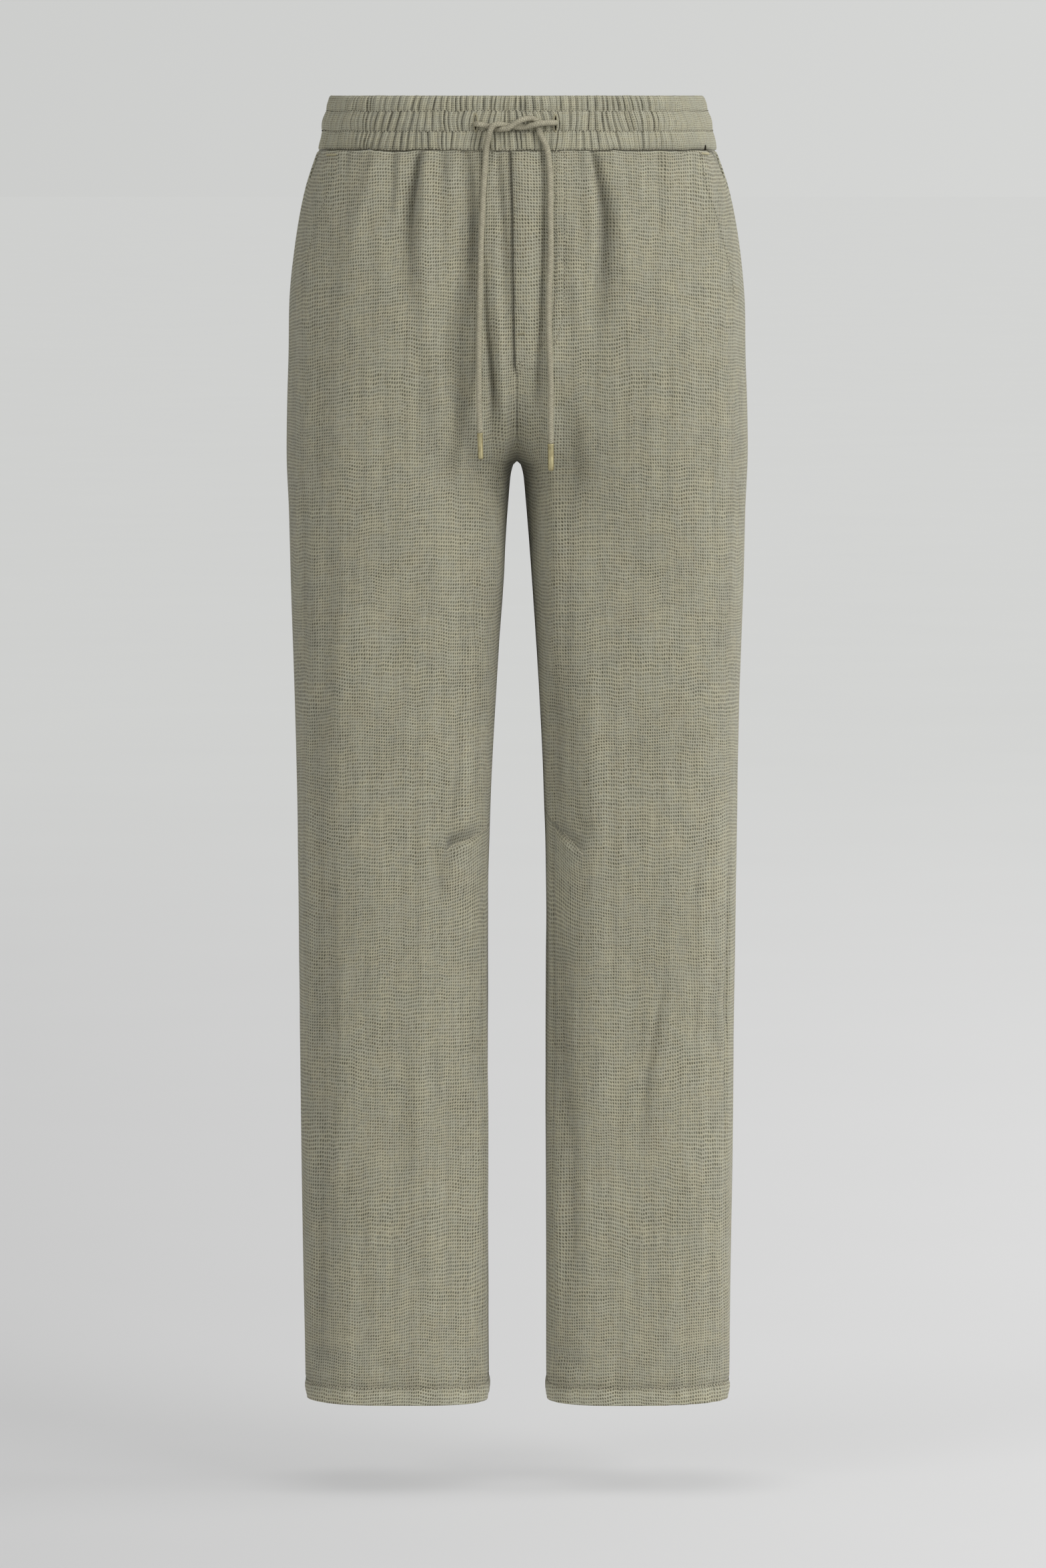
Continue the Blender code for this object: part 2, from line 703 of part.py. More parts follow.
def build():
    for obj in list(bpy.data.objects):
        bpy.data.objects.remove(obj)
    trousers = bpy.data.objects.new("trousers", None)
    bpy.context.scene.collection.objects.link(trousers)

    def cloth(name, colour=KHAKI):
        return make_material(name + "_cloth", colour, 0.9)

    fronts = []
    for side, word in ((1, "left"), (-1, "right")):
        name = f"front_panel_{word}"
        fronts.append(leg_panel(name, side, -1, cloth(name), trousers))
        name = f"back_panel_{word}"
        leg_panel(name, side, 1, cloth(name), trousers)
        name = f"pocket_facing_{word}"
        pocket_facing(name, side, cloth(name), trousers)
    waistband("waistband", cloth("waistband"), trousers)
    fly_placket("fly_placket", front_finder(fronts), cloth("fly_placket"), trousers)
    for word, vias, size in (
        ("left", LEFT_CORD, LEFT_AGLET),
        ("right", RIGHT_CORD, RIGHT_AGLET),
    ):
        name = f"buttonhole_{word}"
        buttonhole(name, *BUTTONHOLES[word], cloth(name, KHAKI_LIGHT), trousers)
        name = f"drawstring_{word}"
        braid = cloth(name, KHAKI_LIGHT)
        _, before, end = drawstring(name, vias, braid, trousers)
        name = f"aglet_{word}"
        brass = make_material(name + "_brass", BRASS, 0.35, 1.0)
        aglet(name, size, before, end, brass, trousers)


build()
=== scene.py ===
"""The looks of the drawstring trousers: waffle cloth, gathered waistband, tied cord, sewing and light.

Lengths are in millimetres, as a maker measures them, and become metres where a mesh is made. +Z is up, the
front faces -Y and the wearer's left is at +X. The origin is the middle of the waistband's top edge. side is
+1 on the wearer's left and -1 on the right, and face is -1 in front and +1 behind.
"""

import math
from collections import namedtuple

import bpy
import numpy as np
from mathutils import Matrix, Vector


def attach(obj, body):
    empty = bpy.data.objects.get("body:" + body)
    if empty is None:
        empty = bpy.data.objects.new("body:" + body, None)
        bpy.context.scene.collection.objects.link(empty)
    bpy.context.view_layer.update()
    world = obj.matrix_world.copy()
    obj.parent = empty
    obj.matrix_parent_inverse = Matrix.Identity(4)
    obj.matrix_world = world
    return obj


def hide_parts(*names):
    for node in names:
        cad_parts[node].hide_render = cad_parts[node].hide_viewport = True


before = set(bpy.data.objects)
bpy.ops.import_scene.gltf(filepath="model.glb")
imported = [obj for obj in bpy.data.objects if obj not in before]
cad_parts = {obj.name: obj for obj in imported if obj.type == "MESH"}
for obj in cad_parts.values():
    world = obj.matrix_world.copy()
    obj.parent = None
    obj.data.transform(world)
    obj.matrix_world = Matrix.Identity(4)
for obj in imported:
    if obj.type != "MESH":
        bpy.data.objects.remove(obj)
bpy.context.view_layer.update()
MM = 0.001

# The camera stands level with the waist and looks down a little.
CAMERA_X, CAMERA_AWAY, CAMERA_TILT = 0.0048, 7.0, math.radians(4.51)
SEEN_HEIGHT = 1.2578  # metres of the picture's height at the garment
SENSOR = 36.0

# The garment's driving sizes
BAND_HEIGHT = 42.0
CROTCH_Z = -291.0
HEM_Z = -1047.0
HEM_TURNING = 14.0
CLOTH = 1.2
HEM_CLOTH = 2.6
SEAM_GAP = 0.3

# Half of the way round at each level: its half width at the side seam, the middle of its leg, the inner edge
# of the leg, the depth in front of the side seam and the depth behind it.
Level = namedtuple("Level", "z outer middle inner front back")
LEVELS = (
    Level(0, 149.5, 0.0, 0.0, 103, 104),
    Level(-42, 159.5, 0.0, 0.0, 109, 112),
    Level(-75, 169.8, 14.0, 0.0, 115, 124),
    Level(-115, 177.3, 34.0, 0.0, 119, 135),
    Level(-160, 182.0, 57.0, 0.0, 122, 143),
    Level(-205, 183.0, 77.0, 0.0, 123, 146),
    Level(-250, 184.4, 90.0, 0.0, 121, 143),
    Level(-291, 184.8, 95.6, 4.0, 118, 134),
    Level(-330, 183.2, 95.4, 7.4, 114, 121),
    Level(-394, 181.6, 96.9, 12.2, 109, 107),
    Level(-480, 178.8, 98.2, 17.8, 103, 97),
    Level(-566, 176.8, 99.3, 22.0, 97, 88),
    Level(-640, 175.8, 99.7, 23.8, 91, 83),
    Level(-760, 174.6, 98.9, 23.8, 80, 81),
    Level(-900, 173.2, 98.4, 23.6, 72, 76),
    Level(-1047, 170.6, 97.4, 23.6, 66, 67),
)
SQUARENESS = 0.08  # how far the outer quarters stand out past an ellipse
INNER_SQUARENESS = {1: 0.15, -1: 0.17}  # the same for the inner quarters of the two legs
VALLEY_TOP_Z = -150.0  # where the hollow between the thighs begins
ARCH_HEIGHT = 16.0  # the rounded top of the gap between the legs

# Creases that run down the front. Each is a table of where it lies at some heights, how wide it is towards
# the wearer's right and left, and how deep. A negative depth is a ridge.
Crease = namedtuple("Crease", "z x right left depth")
FRONT_CREASES = tuple(
    tuple(Crease(*row) for row in crease)
    for crease in (
        # under the waistband, the wearer's right half
        ((-40, -137, 3, 3, 1.0), (-85, -138, 4, 4, 1.0), (-110, -139, 5, 5, 0)),
        (
            (-40, -111, 6, 6, -1.6), (-62, -115, 7, 7, -2.6), (-110, -127, 9, 8, -2.2),
            (-170, -131, 10, 10, 0),
        ),
        ((-40, -98, 3, 3, 2.2), (-66, -99, 4, 3, 1.8), (-95, -101, 5, 4, 0.8), (-120, -102, 5, 5, 0)),
        ((-40, -91, 3, 3, -1.4), (-75, -93, 4, 4, -1.2), (-110, -97, 5, 5, 0)),
        (
            (-40, -77, 4, 2.2, 4.6), (-60, -80, 5, 2.8, 6.6), (-85, -83.5, 6.5, 3.2, 7.2),
            (-110, -85.5, 8, 4, 5.6), (-140, -87, 9, 6, 3.0), (-178, -88, 10, 8, 0),
        ),
        (
            (-40, -70, 3, 4, -2.0), (-80, -72, 5, 7, -3.4), (-150, -72, 7, 8, -3.4),
            (-200, -69, 8, 8, -3.2), (-250, -63, 9, 8, -2.4), (-320, -56, 12, 12, 0),
        ),
        ((-40, -61, 3, 3, 2.0), (-75, -62, 3, 3, 1.4), (-95, -62, 4, 4, 0)),
        ((-40, -51, 4, 4, -1.8), (-62, -52, 4, 4, -1.4), (-100, -53, 5, 5, 0)),
        (
            (-40, -41, 4, 4, 3.4), (-75, -37, 6, 4.5, 6.0), (-110, -35, 7, 5, 6.6), (-150, -38, 10, 6, 5.4),
            (-185, -44, 14, 9, 5.6), (-220, -44, 14, 8, 5.4), (-250, -41, 11, 7, 5.0),
            (-280, -34, 9, 6, 4.2), (-312, -26, 9, 6, 0),
        ),
        ((-40, -20, 2, 2, 1.6), (-75, -20.5, 2, 2, 0.6), (-92, -21, 2, 2, 0)),
        (
            (-118, -25, 2, 2, 0), (-140, -25, 2.4, 2.4, 2.0), (-165, -25, 3, 3, 3.2),
            (-200, -22, 3.4, 3.4, 5.6), (-230, -19, 3.4, 3.4, 5.6), (-258, -18, 4, 4, 3.4),
            (-290, -16, 4, 4, 0),
        ),
        (
            (-100, -17, 4, 3, 0), (-130, -16.5, 4, 3.5, -1.8), (-160, -16, 4, 4, -2.4),
            (-200, -12, 4, 4, -3.0), (-250, -11, 5, 4, -3.0), (-300, -12, 5, 4, -2.4),
            (-380, -15, 6, 5, -1.6), (-430, -17, 6, 5, 0),
        ),
        (
            (-40, -15, 2, 2, 1.2), (-60, -14, 2.6, 2.2, 3.0), (-85, -12, 2.8, 2.4, 3.4),
            (-110, -10, 2.8, 2.6, 3.2), (-150, -9, 3, 3, 2.2), (-185, -9, 3, 3, 0),
        ),
        # the fly stands forward
        ((-40, 7, 7, 8, -2.4), (-120, 7, 8, 9, -2.8), (-184, 8, 8, 8, -2.0), (-208, 8, 8, 8, 0)),
        # and the wearer's left half
        (
            (-40, 20.5, 2, 2, 2.0), (-100, 21.5, 2.4, 2.4, 3.2), (-160, 20, 2.6, 3, 3.4),
            (-200, 18.5, 3, 3, 3.2), (-235, 16.5, 3, 3, 2.4), (-262, 15, 3, 3, 0),
        ),
        ((-70, 39, 4, 4, 0), (-100, 41, 5, 5, -1.5), (-160, 46, 5, 5, -1.7), (-190, 51, 5, 5, 0)),
        ((-40, 53, 4, 4, -2.2), (-62, 55, 5, 5, -1.8), (-110, 57, 6, 6, -1.6), (-180, 54, 7, 7, 0)),
        (
            (-40, 60, 3, 4, 4.4), (-58, 64, 3.6, 4.4, 6.6), (-75, 68, 4.4, 4.6, 8.0),
            (-96, 71, 5.5, 5, 8.6), (-125, 70.5, 6, 5, 7.4), (-150, 68.5, 7, 6, 5.4), (-185, 66, 9, 8, 2.6),
            (-222, 64, 10, 10, 0),
        ),
        ((-40, 73, 3, 5, -1.6), (-66, 80, 4, 6, -1.4), (-130, 84, 6, 8, -1.6), (-190, 84, 8, 8, 0)),
        ((-40, 84, 3, 3, 1.4), (-62, 85, 3, 3, 1.0), (-82, 86, 4, 4, 0)),
        ((-40, 113, 3, 3, 2.6), (-75, 113.5, 4, 3.4, 2.2), (-105, 114, 5, 4, 1.4), (-140, 115, 5, 5, 0)),
        ((-40, 121, 4, 4, -1.6), (-90, 122, 5, 5, -1.2), (-130, 124, 6, 6, 0)),
        ((-40, 135, 3, 3, 0.9), (-80, 137, 4, 4, 0.7), (-110, 138, 5, 5, 0)),
        ((-50, 150, 4, 4, 0), (-66, 151, 5, 5, -1.2), (-100, 155, 5, 5, -1.0), (-130, 158, 5, 5, 0)),
        (
            (-178, 27, 4, 4, 0), (-212, 28, 5, 5, -2.6), (-300, 30, 6, 6, -3.4), (-340, 32, 6, 6, -3.0),
            (-430, 30, 6, 6, -2.0), (-480, 28, 7, 7, 0),
        ),
        ((-240, 46, 6, 6, 0), (-262, 47, 6, 5, 2.0), (-290, 46, 7, 6, 0.8), (-330, 46, 8, 8, 0)),
        # thighs
        (
            (-110, -150, 9, 9, 0), (-170, -151, 9, 9, 1.4), (-320, -152, 9, 9, 1.3),
            (-470, -152, 8, 8, 1.3), (-520, -158, 8, 8, 0.4),
        ),
        ((-290, -168, 6, 6, 0), (-340, -169, 6, 6, 1.6), (-430, -169, 6, 6, 1.5), (-480, -166, 6, 6, 0.2)),
        ((-460, -160, 6, 6, 0), (-510, -160, 6, 6, 1.6), (-590, -160, 7, 7, 1.6), (-640, -155, 9, 9, 0.6)),
        ((-300, -161, 4, 4, 0), (-350, -161, 5, 5, -1.0), (-450, -163, 5, 5, -0.8), (-500, -164, 5, 5, 0)),
        ((-330, -136, 7, 7, 0), (-400, -136, 8, 8, -1.2), (-520, -140, 8, 8, -1.0), (-600, -140, 8, 8, 0)),
        ((-392, -33, 4, 4, 0), (-410, -33, 4, 3.4, 2.0), (-432, -33, 4, 4, 0)),
        (
            (-405, -45, 4, 4, 0), (-450, -45, 5, 4, 1.2), (-520, -45, 5, 4, 1.4), (-560, -47, 5, 5, 2.4),
            (-592, -49, 5, 5, 0.8),
        ),
        ((-300, 12, 5, 5, 0), (-340, 14, 5, 7, 1.8), (-430, 18, 5, 7, 1.6), (-470, 22, 6, 8, 0.8)),
        (
            (-430, 25, 6, 9, 0), (-490, 31, 8, 9, 2.8), (-575, 33, 8, 9, 2.8), (-640, 33, 8, 9, 1.6),
            (-700, 34, 9, 8, 3.0), (-790, 38, 9, 7, 3.0), (-840, 44, 9, 7, 2.2), (-900, 44, 6, 6, 2.2),
            (-970, 43, 6, 6, 0),
        ),
        (
            (-450, 58, 9, 9, 0), (-520, 62, 10, 10, -2.0), (-640, 62, 10, 10, -1.6), (-700, 60, 8, 8, -1.4),
            (-790, 62, 8, 8, -1.2), (-850, 62, 9, 9, 0),
        ),
        ((-495, 125, 6, 6, 0), (-520, 125, 6, 6, 2.0), (-556, 124, 6, 6, 0)),
        ((-505, 140, 5, 5, 0), (-532, 140, 5, 5, 2.0), (-568, 142, 5, 5, 0)),
        (
            (-566, 151, 5, 5, 0), (-602, 150, 6, 6, 2.0), (-640, 144, 8, 8, 1.8), (-700, 134, 8, 7, 2.0),
            (-740, 124, 7, 6, 0.4),
        ),
        (
            (-600, 128, 6, 6, 0), (-650, 124, 6, 6, -1.4), (-700, 116, 5, 5, -1.6), (-760, 103, 5, 5, -1.6),
            (-800, 96, 5, 5, 0),
        ),
        (
            (-690, 122, 5, 5, 0), (-712, 116, 5, 4, 3.2), (-760, 108, 5, 4, 3.8), (-800, 103, 6, 4, 3.0),
            (-850, 98, 7, 6, 0),
        ),
        ((-700, 166, 3, 3, 0), (-722, 166, 3, 3, 1.8), (-750, 166, 3, 3, 0)),
        # shins
        (
            (-590, -151, 9, 9, 0), (-650, -151, 9, 9, 1.1), (-800, -151, 9, 9, 1.2),
            (-880, -158, 7, 7, 1.2), (-990, -160, 6, 6, 1.4), (-1030, -160, 6, 6, 0),
        ),
        ((-690, -80, 10, 8, 0), (-760, -80, 9, 7, -1.8), (-880, -79, 9, 7, -1.8), (-950, -80, 9, 9, 0)),
        ((-760, -55, 8, 7, 0), (-820, -55, 8, 7, 1.8), (-890, -56, 8, 7, 1.4), (-950, -58, 8, 8, 0)),
        ((-760, -29, 5, 4, 0), (-820, -28, 5, 4, -1.6), (-920, -28, 5, 4, -1.6), (-980, -28, 5, 4, 0)),
        ((-820, -118, 9, 9, 0), (-880, -116, 10, 9, -1.2), (-960, -112, 10, 9, 0)),
        ((-840, 33, 4, 4, 0), (-880, 33, 4, 4, -1.6), (-950, 33, 4, 4, -1.4), (-990, 33, 4, 4, 0)),
        ((-700, 42, 4, 4, 0), (-711, 42, 4, 4, 1.2), (-724, 43, 4, 4, 0)),
        (
            (-900, 120, 9, 9, 0), (-960, 122, 10, 10, -1.2), (-1010, 120, 10, 10, -0.8),
            (-1040, 120, 9, 9, 0),
        ),
        # the seams show as thin lines beside the legs' edges
        (
            (-600, -27.2, 1.2, 1.2, 0), (-680, -27, 1.2, 1.2, 1.4), (-900, -27.6, 1.2, 1.2, 1.6),
            (-1040, -28, 1.2, 1.2, 0.8),
        ),
        (
            (-480, 27.4, 1.3, 1.3, 0), (-560, 28, 1.3, 1.3, 1.2), (-700, 27.8, 1.3, 1.3, 1.8),
            (-1000, 28.4, 1.3, 1.3, 1.4), (-1040, 29, 1.3, 1.3, 0.6),
        ),
        (
            (-600, 168.5, 1.3, 1.3, 0), (-650, 168.5, 1.3, 1.3, 2.2), (-760, 168, 1.3, 1.3, 2.6),
            (-840, 167.5, 1.3, 1.3, 1.6), (-1040, 165.5, 1.3, 1.3, 0.8),
        ),
        # hems
        ((-994, 128, 5, 5, 0), (-1020, 127, 4, 4, 1.4), (-1050, 127, 4, 4, 1.8)),
        ((-990, 140, 4, 4, 0), (-1016, 140, 4, 4, 1.6), (-1050, 140, 4, 4, 2.0)),
        ((-992, 150, 4, 4, 0), (-1008, 150, 4, 4, 1.8), (-1050, 149, 4, 4, 1.4)),
        ((-1010, 158, 4, 4, 0), (-1034, 157.5, 3.4, 3.4, 1.8), (-1050, 158, 4, 4, 1.4)),
    )
)

# Folds that run across, or down the back: a trough along a straight line, or a ridge where depth is negative.
# head is the share of the depth at its top end. lean makes the side towards +X wider, or narrower below 0.
Fold = namedtuple("Fold", "x_top z_top x_low z_low width depth head lean")
FRONT_FOLDS = tuple(
    Fold(*row)
    for row in (
        (-53, -597, -67, -660, 5, 3.0, 1, 0.2), (-63, -597, -66, -632, 3, 2.2, 1, 0.0),
        (-44, -602, -36, -640, 6, -1.8, 0.4, 0.0), (52, -566, 56, -602, 7, 3.2, 0, 0.0),
        (40, -606, 47, -618, 5, -1.6, 0.5, 0.0), (60, -608, 58, -660, 6, 1.4, 0.5, 0.0),
        (34, -1008, 64, -1018, 5, 2.4, 0.5, 0.0), (40, -996, 68, -1000, 5, -1.6, 0.3, 0.0),
        (-158, -1006, -138, -1013, 5, 1.8, 0.5, 0.0), (-120, -1010, -90, -1012, 5, 1.6, 0.3, 0.0),
        (-76, -986, -52, -994, 5, 1.6, 0.4, 0.0),
    )
)
BACK_FOLDS = tuple(
    Fold(*row)
    for row in (
        (-118, -40, -122, -125, 9, 2.6, 1, 0.0), (-92, -40, -92, -150, 8, -1.6, 1, 0.0),
        (-66, -40, -70, -170, 8, 3.8, 1, 0.2), (-24, -40, -26, -110, 7, 2.4, 1, 0.0),
        (8, -42, 9, -120, 7, -1.2, 1, 0.0), (31, -40, 30, -140, 8, 3.0, 1, -0.2),
        (78, -40, 86, -190, 9, 4.2, 1, 0.2), (102, -40, 106, -150, 8, -1.6, 1, 0.0),
        (124, -40, 128, -105, 8, 2.4, 1, 0.0), (-14, -300, -86, -352, 12, 3.6, 0.4, 0.2),
        (-20, -330, -110, -398, 13, 2.0, 0.3, 0.0), (16, -298, 94, -346, 12, 3.2, 0.4, -0.2),
        (22, -326, 104, -384, 13, 1.8, 0.3, 0.0), (-44, -592, -120, -606, 10, 3.0, 0, 0.0),
        (-60, -618, -132, -640, 11, 1.8, 0, 0.0), (48, -600, 116, -590, 10, 2.6, 0, 0.0),
        (56, -628, 126, -618, 11, 1.6, 0, 0.0), (-60, -800, -112, -905, 14, 2.4, 0, 0.2),
        (66, -770, 110, -880, 14, 2.6, 0, -0.2), (-96, -420, -90, -560, 15, -1.8, 0, 0.0),
        (92, -410, 96, -550, 15, -1.8, 0, 0.0),
    )
)
FOLD_RISE, FOLD_FALL = 0.35, 0.65  # shares of its length over which a fold grows and dies out
# The waistband's seam holds the folds to this share, and lets go of them over this depth
SEAM_HOLD, SEAM_HOLD_DEPTH = 0.9, 7.0

# Small waves in the hanging cloth: spacing across, spacing down and height
DRAPE_WAVES = ((34.0, 210.0, 0.75), (19.0, 90.0, 0.3), (12.0, 190.0, 0.42), (9.0, 30.0, 0.14))

NOISE_CELLS = 64  # the noise repeats after as many cells
# The little folds under the waistband: how far they reach to each side, and the spans that their sizes lie in
SHORT_FOLD_REACH = 156.0
SHORT_FOLD_SPACING, SHORT_FOLD_WIDTH = (4.5, 12.0), (1.5, 3.2)
SHORT_FOLD_DEPTH, SHORT_FOLD_LENGTH = (0.4, 1.5), (9.0, 34.0)

# The slanted pocket mouth, as an arc's length round the side from the side seam
MouthPoint = namedtuple("MouthPoint", "z from_seam")
POCKET_MOUTH = (
    MouthPoint(-42, 34.0),
    MouthPoint(-60, 29.0),
    MouthPoint(-75, 25.0),
    MouthPoint(-95, 18.0),
    MouthPoint(-130, 9.0),
    MouthPoint(-165, 3.0),
    MouthPoint(-205, 0.0),
)
FACING_INSET, FACING_UNDER, FACING_BEHIND = 2.0, 9.0, 5.0
FACING_ROWS, FACING_COLUMNS = 70, 26
POCKET_SHADE = 1.5  # how much painted shade the cloth just behind the mouth gets, where the front panel's edge would shade it

# Rows of points down a leg, crowding together at the inner edge near the crotch by a power
Span = namedtuple("Span", "top low steps crowding_top crowding_low")
SPANS = (
    Span(-BAND_HEIGHT - SEAM_GAP, -47.0, 5, 1.0, 1.0),
    Span(-47.0, CROTCH_Z, 74, 1.0, 1.7),
    Span(CROTCH_Z, -545.0, 56, 1.6, 1.0),
    Span(-545.0, -625.0, 66, 1.0, 1.0),
    Span(-625.0, HEM_Z + HEM_TURNING + 4, 70, 1.0, 1.0),
    Span(HEM_Z + HEM_TURNING + 4, HEM_Z, 16, 1.0, 1.0),
)
FRONT_COLUMNS, BACK_COLUMNS = 132, 72
EDGE_SHARES = (0.0, 0.0018, 0.0042, 0.0080, 0.0130)  # extra columns close to a seam
EDGE_STEP = 0.009  # from the last of them to the first even column
SEAM_TURN, SEAM_ROUND = 1.1, 1.0  # how far an edge turns in at a seam, and over what width
SEAM_DROP = 1.2  # how far the waistband's seam hangs below its level
SEAM_CALM = 9.0  # folds die out this close to the side seam and the inseam
GRAIN_X = 95.0  # the lengthwise threads run down along this line of each leg
GRAIN_FALL = 13.0  # how far the crosswise threads fall towards the side seam at the hips
WIDEST_X = 184.0
SEAM_WAVES = ((61, 13.0, 0.9), (63, 4.5, 0.4))  # how the waistband's seam wanders: seed, spacing and height
HEM_DRAW, HEM_ROLL = 0.9, 0.9  # how far the hem's stitching pulls the cloth in, and the cloth below stands out
HEM_CORNER, HEM_CORNER_HEIGHT, HEM_CORNER_WIDTH = 3.2, 13.0, 12.0  # it draws in by the side seam

# The waistband's three channels between rows of stitching, how far each row of it stands out, and its gathers
BandRow = namedtuple("BandRow", "z puff gather")
BAND_ROWS = (
    BandRow(0.0, -1.5, 0.4),
    BandRow(-1.4, -0.2, 0.8),
    BandRow(-6.0, 0.5, 1.0),
    BandRow(-10.6, 0.0, 0.9),
    BandRow(-12.0, -0.5, 0.7),
    BandRow(-13.6, 0.4, 0.95),
    BandRow(-20.0, 1.7, 1.0),
    BandRow(-26.2, 0.9, 0.9),
    BandRow(-27.8, 0.1, 0.7),
    BandRow(-29.2, 0.4, 0.9),
    BandRow(-34.5, 0.8, 0.95),
    BandRow(-40.3, 0.3, 0.75),
    BandRow(-42.0, -1.0, 0.5),
)
CHANNEL_EDGES = (0.0, -12.0, -27.8, -42.0)
BAND_INSIDE, BAND_INSIDE_ROWS = 3.2, (-41.0, -20.0, -1.2)  # how far in, and at which heights
BAND_LIP, BAND_LIP_Z = 2.5, 0.1  # the smooth edge where the outside turns in
BAND_HALF_WIDTH = 155.0
GATHER_WIDTH, GATHER_DEPTH = 4.9, 2.1
GATHER_SPREAD = (0.6, 1.45)  # the narrowest and widest, as shares of that width
RIB_SHARE, VALLEY_SHARE = 0.42, 0.62  # shares of that depth by which ribs stand out and valleys lie in
RIB_HEIGHTS, VALLEY_DEPTHS, RIB_SKEWS = (0.55, 1.15), (0.7, 1.25), (0.72, 1.35)
SHALLOW_VALLEY, DEEP_VALLEYS = 0.3, 0.72  # the depth of the few shallow valleys, and the share of deep ones
PINCHES = ((71, 7.0, 9.0, 0.45), (72, 31.0, 15.0, 0.3))  # seed, spacing along and down, and height
GATHER_FULLNESS = 1.45  # the cloth's own length for each length of the band
BAND_DOWN = 1.07  # the same from the top edge down
BAND_COLUMNS, CHANNEL_ROWS = 1800, 10
RING_STEPS = 5760  # fine steps round the band, to measure along it

# The fly: the left front laps over the right at the centre and hides its facing, which two rows of a J hold.
LapPoint = namedtuple("LapPoint", "z x")
FLY_LOW_Z = -217.6
FLY_LAP = (
    LapPoint(-42, -4.0),
    LapPoint(-85, -2.8),
    LapPoint(-150, -2.0),
    LapPoint(-190, -1.4),
    LapPoint(FLY_LOW_Z, -0.8),
)
FLY_LIFT = 2.0  # how far the lap stands out over the panel
FLY_FLAT_X, FLY_FLAT_WIDTH = 26.0, 14.0  # where and over what width it becomes level with the panel
SewnPoint = namedtuple("SewnPoint", "x z")
J_OUTER = (
    SewnPoint(37.8, -43.5),
    SewnPoint(37.6, -100.0),
    SewnPoint(36.8, -163.0),
    SewnPoint(34.6, -181.0),
    SewnPoint(28.6, -196.5),
    SewnPoint(19.6, -208.2),
    SewnPoint(9.0, -215.2),
    SewnPoint(-1.5, -217.6),
)
J_INNER = (
    SewnPoint(31.0, -43.5),
    SewnPoint(30.8, -100.0),
    SewnPoint(30.0, -160.0),
    SewnPoint(28.2, -176.0),
    SewnPoint(23.0, -190.5),
    SewnPoint(14.6, -202.0),
    SewnPoint(4.3, -208.9),
    SewnPoint(-1.5, -210.2),
)

# Knee darts, from the inseam outwards
LEFT_DART = (
    SewnPoint(24.4, -574.4),
    SewnPoint(34.0, -585.6),
    SewnPoint(42.6, -593.2),
    SewnPoint(52.6, -600.6),
)
RIGHT_DART = (
    SewnPoint(-24.6, -583.0),
    SewnPoint(-31.2, -587.8),
    SewnPoint(-37.3, -590.9),
    SewnPoint(-48.2, -594.8),
    SewnPoint(-53.5, -597.8),
)
DART_STEP, DART_REACH = 3.4, 9.0  # how far the cloth above a dart stands back, and how far up
DART_EDGE = (25.0, 9.0)  # the step is nothing at the inner edge and grows over this width
DARTS = {1: LEFT_DART, -1: RIGHT_DART}
# How far the crosswise threads below a dart rise towards the inner edge, from where, over what width, and how
# far down they still do
DART_TILT = {1: 15.0, -1: 8.0}
DART_TILT_OUTER, DART_TILT_WIDTH, DART_TILT_DOWN = 54.0, 31.0, 90.0
# painted shade in the corner above each dart: how strong it is and how far above the seam it lies
DartShade = namedtuple("DartShade", "strong up")
DART_SHADES = {1: DartShade(0.5, 3.2), -1: DartShade(0.95, 5.0)}

# Drawstring: the same routes as the solids'
CORD_DIAMETER = 4.4
Via = namedtuple("Via", "x y z")
RIGHT_CORD = (
    Via(-29.8, -109.5, -22.6),
    Via(-24.6, -109.8, -23.6),
    Via(-19.6, -109.8, -24.7),
    Via(-15.2, -111.3, -26.3),
    Via(-11.4, -113.9, -26.2),
    Via(-7.4, -115.2, -25.6),
    Via(-2.2, -116.2, -22.4),
    Via(3.2, -116.3, -19.2),
    Via(8.0, -113.6, -18.0),
    Via(12.6, -111.1, -18.2),
    Via(16.0, -111.5, -20.6),
    Via(17.0, -110.2, -25.8),
    Via(19.6, -111.3, -32.4),
    Via(23.2, -111.7, -40.0),
    Via(25.4, -113.9, -52.0),
    Via(26.2, -117.0, -68.0),
    Via(26.3, -120.7, -92.0),
    Via(26.6, -123.5, -120.0),
    Via(25.4, -125.8, -153.0),
    Via(25.6, -127.4, -193.0),
    Via(26.8, -127.7, -228.0),
    Via(26.6, -127.7, -252.0),
    Via(26.7, -127.7, -273.0),
)
LEFT_CORD = (
    Via(28.4, -110.6, -21.2),
    Via(22.4, -114.5, -21.4),
    Via(16.8, -116.3, -22.0),
    Via(11.6, -114.2, -23.4),
    Via(6.0, -111.5, -24.6),
    Via(0.6, -110.9, -24.8),
    Via(-4.6, -111.0, -23.8),
    Via(-9.6, -112.0, -23.1),
    Via(-14.4, -114.7, -22.3),
    Via(-18.6, -115.5, -23.6),
    Via(-21.0, -115.7, -27.6),
    Via(-22.6, -114.1, -33.6),
    Via(-24.0, -111.8, -42.0),
    Via(-25.2, -112.6, -56.0),
    Via(-26.6, -116.4, -82.0),
    Via(-28.2, -120.2, -118.0),
    Via(-29.1, -123.2, -153.0),
    Via(-29.8, -125.8, -203.0),
    Via(-29.8, -126.2, -240.0),
    Via(-29.1, -126.2, -264.6),
)
CORDS_IN_BAND = {
    "left": (Via(30.4, -103.6, -21.3), Via(29.9, -107.8, -21.2)),
    "right": (Via(-32.4, -102.8, -22.0), Via(-31.6, -107.2, -22.3)),
}
CORD_STEP, CORD_SIDES = 0.9, 24
CORD_PATH_STEP = 4  # one of so many rings is a point of the path that goes with the cord
STRANDS = 4  # strands that wind each way round the braid
BRAID_PITCH = 7.4  # the length in which a strand goes once round, for each of them
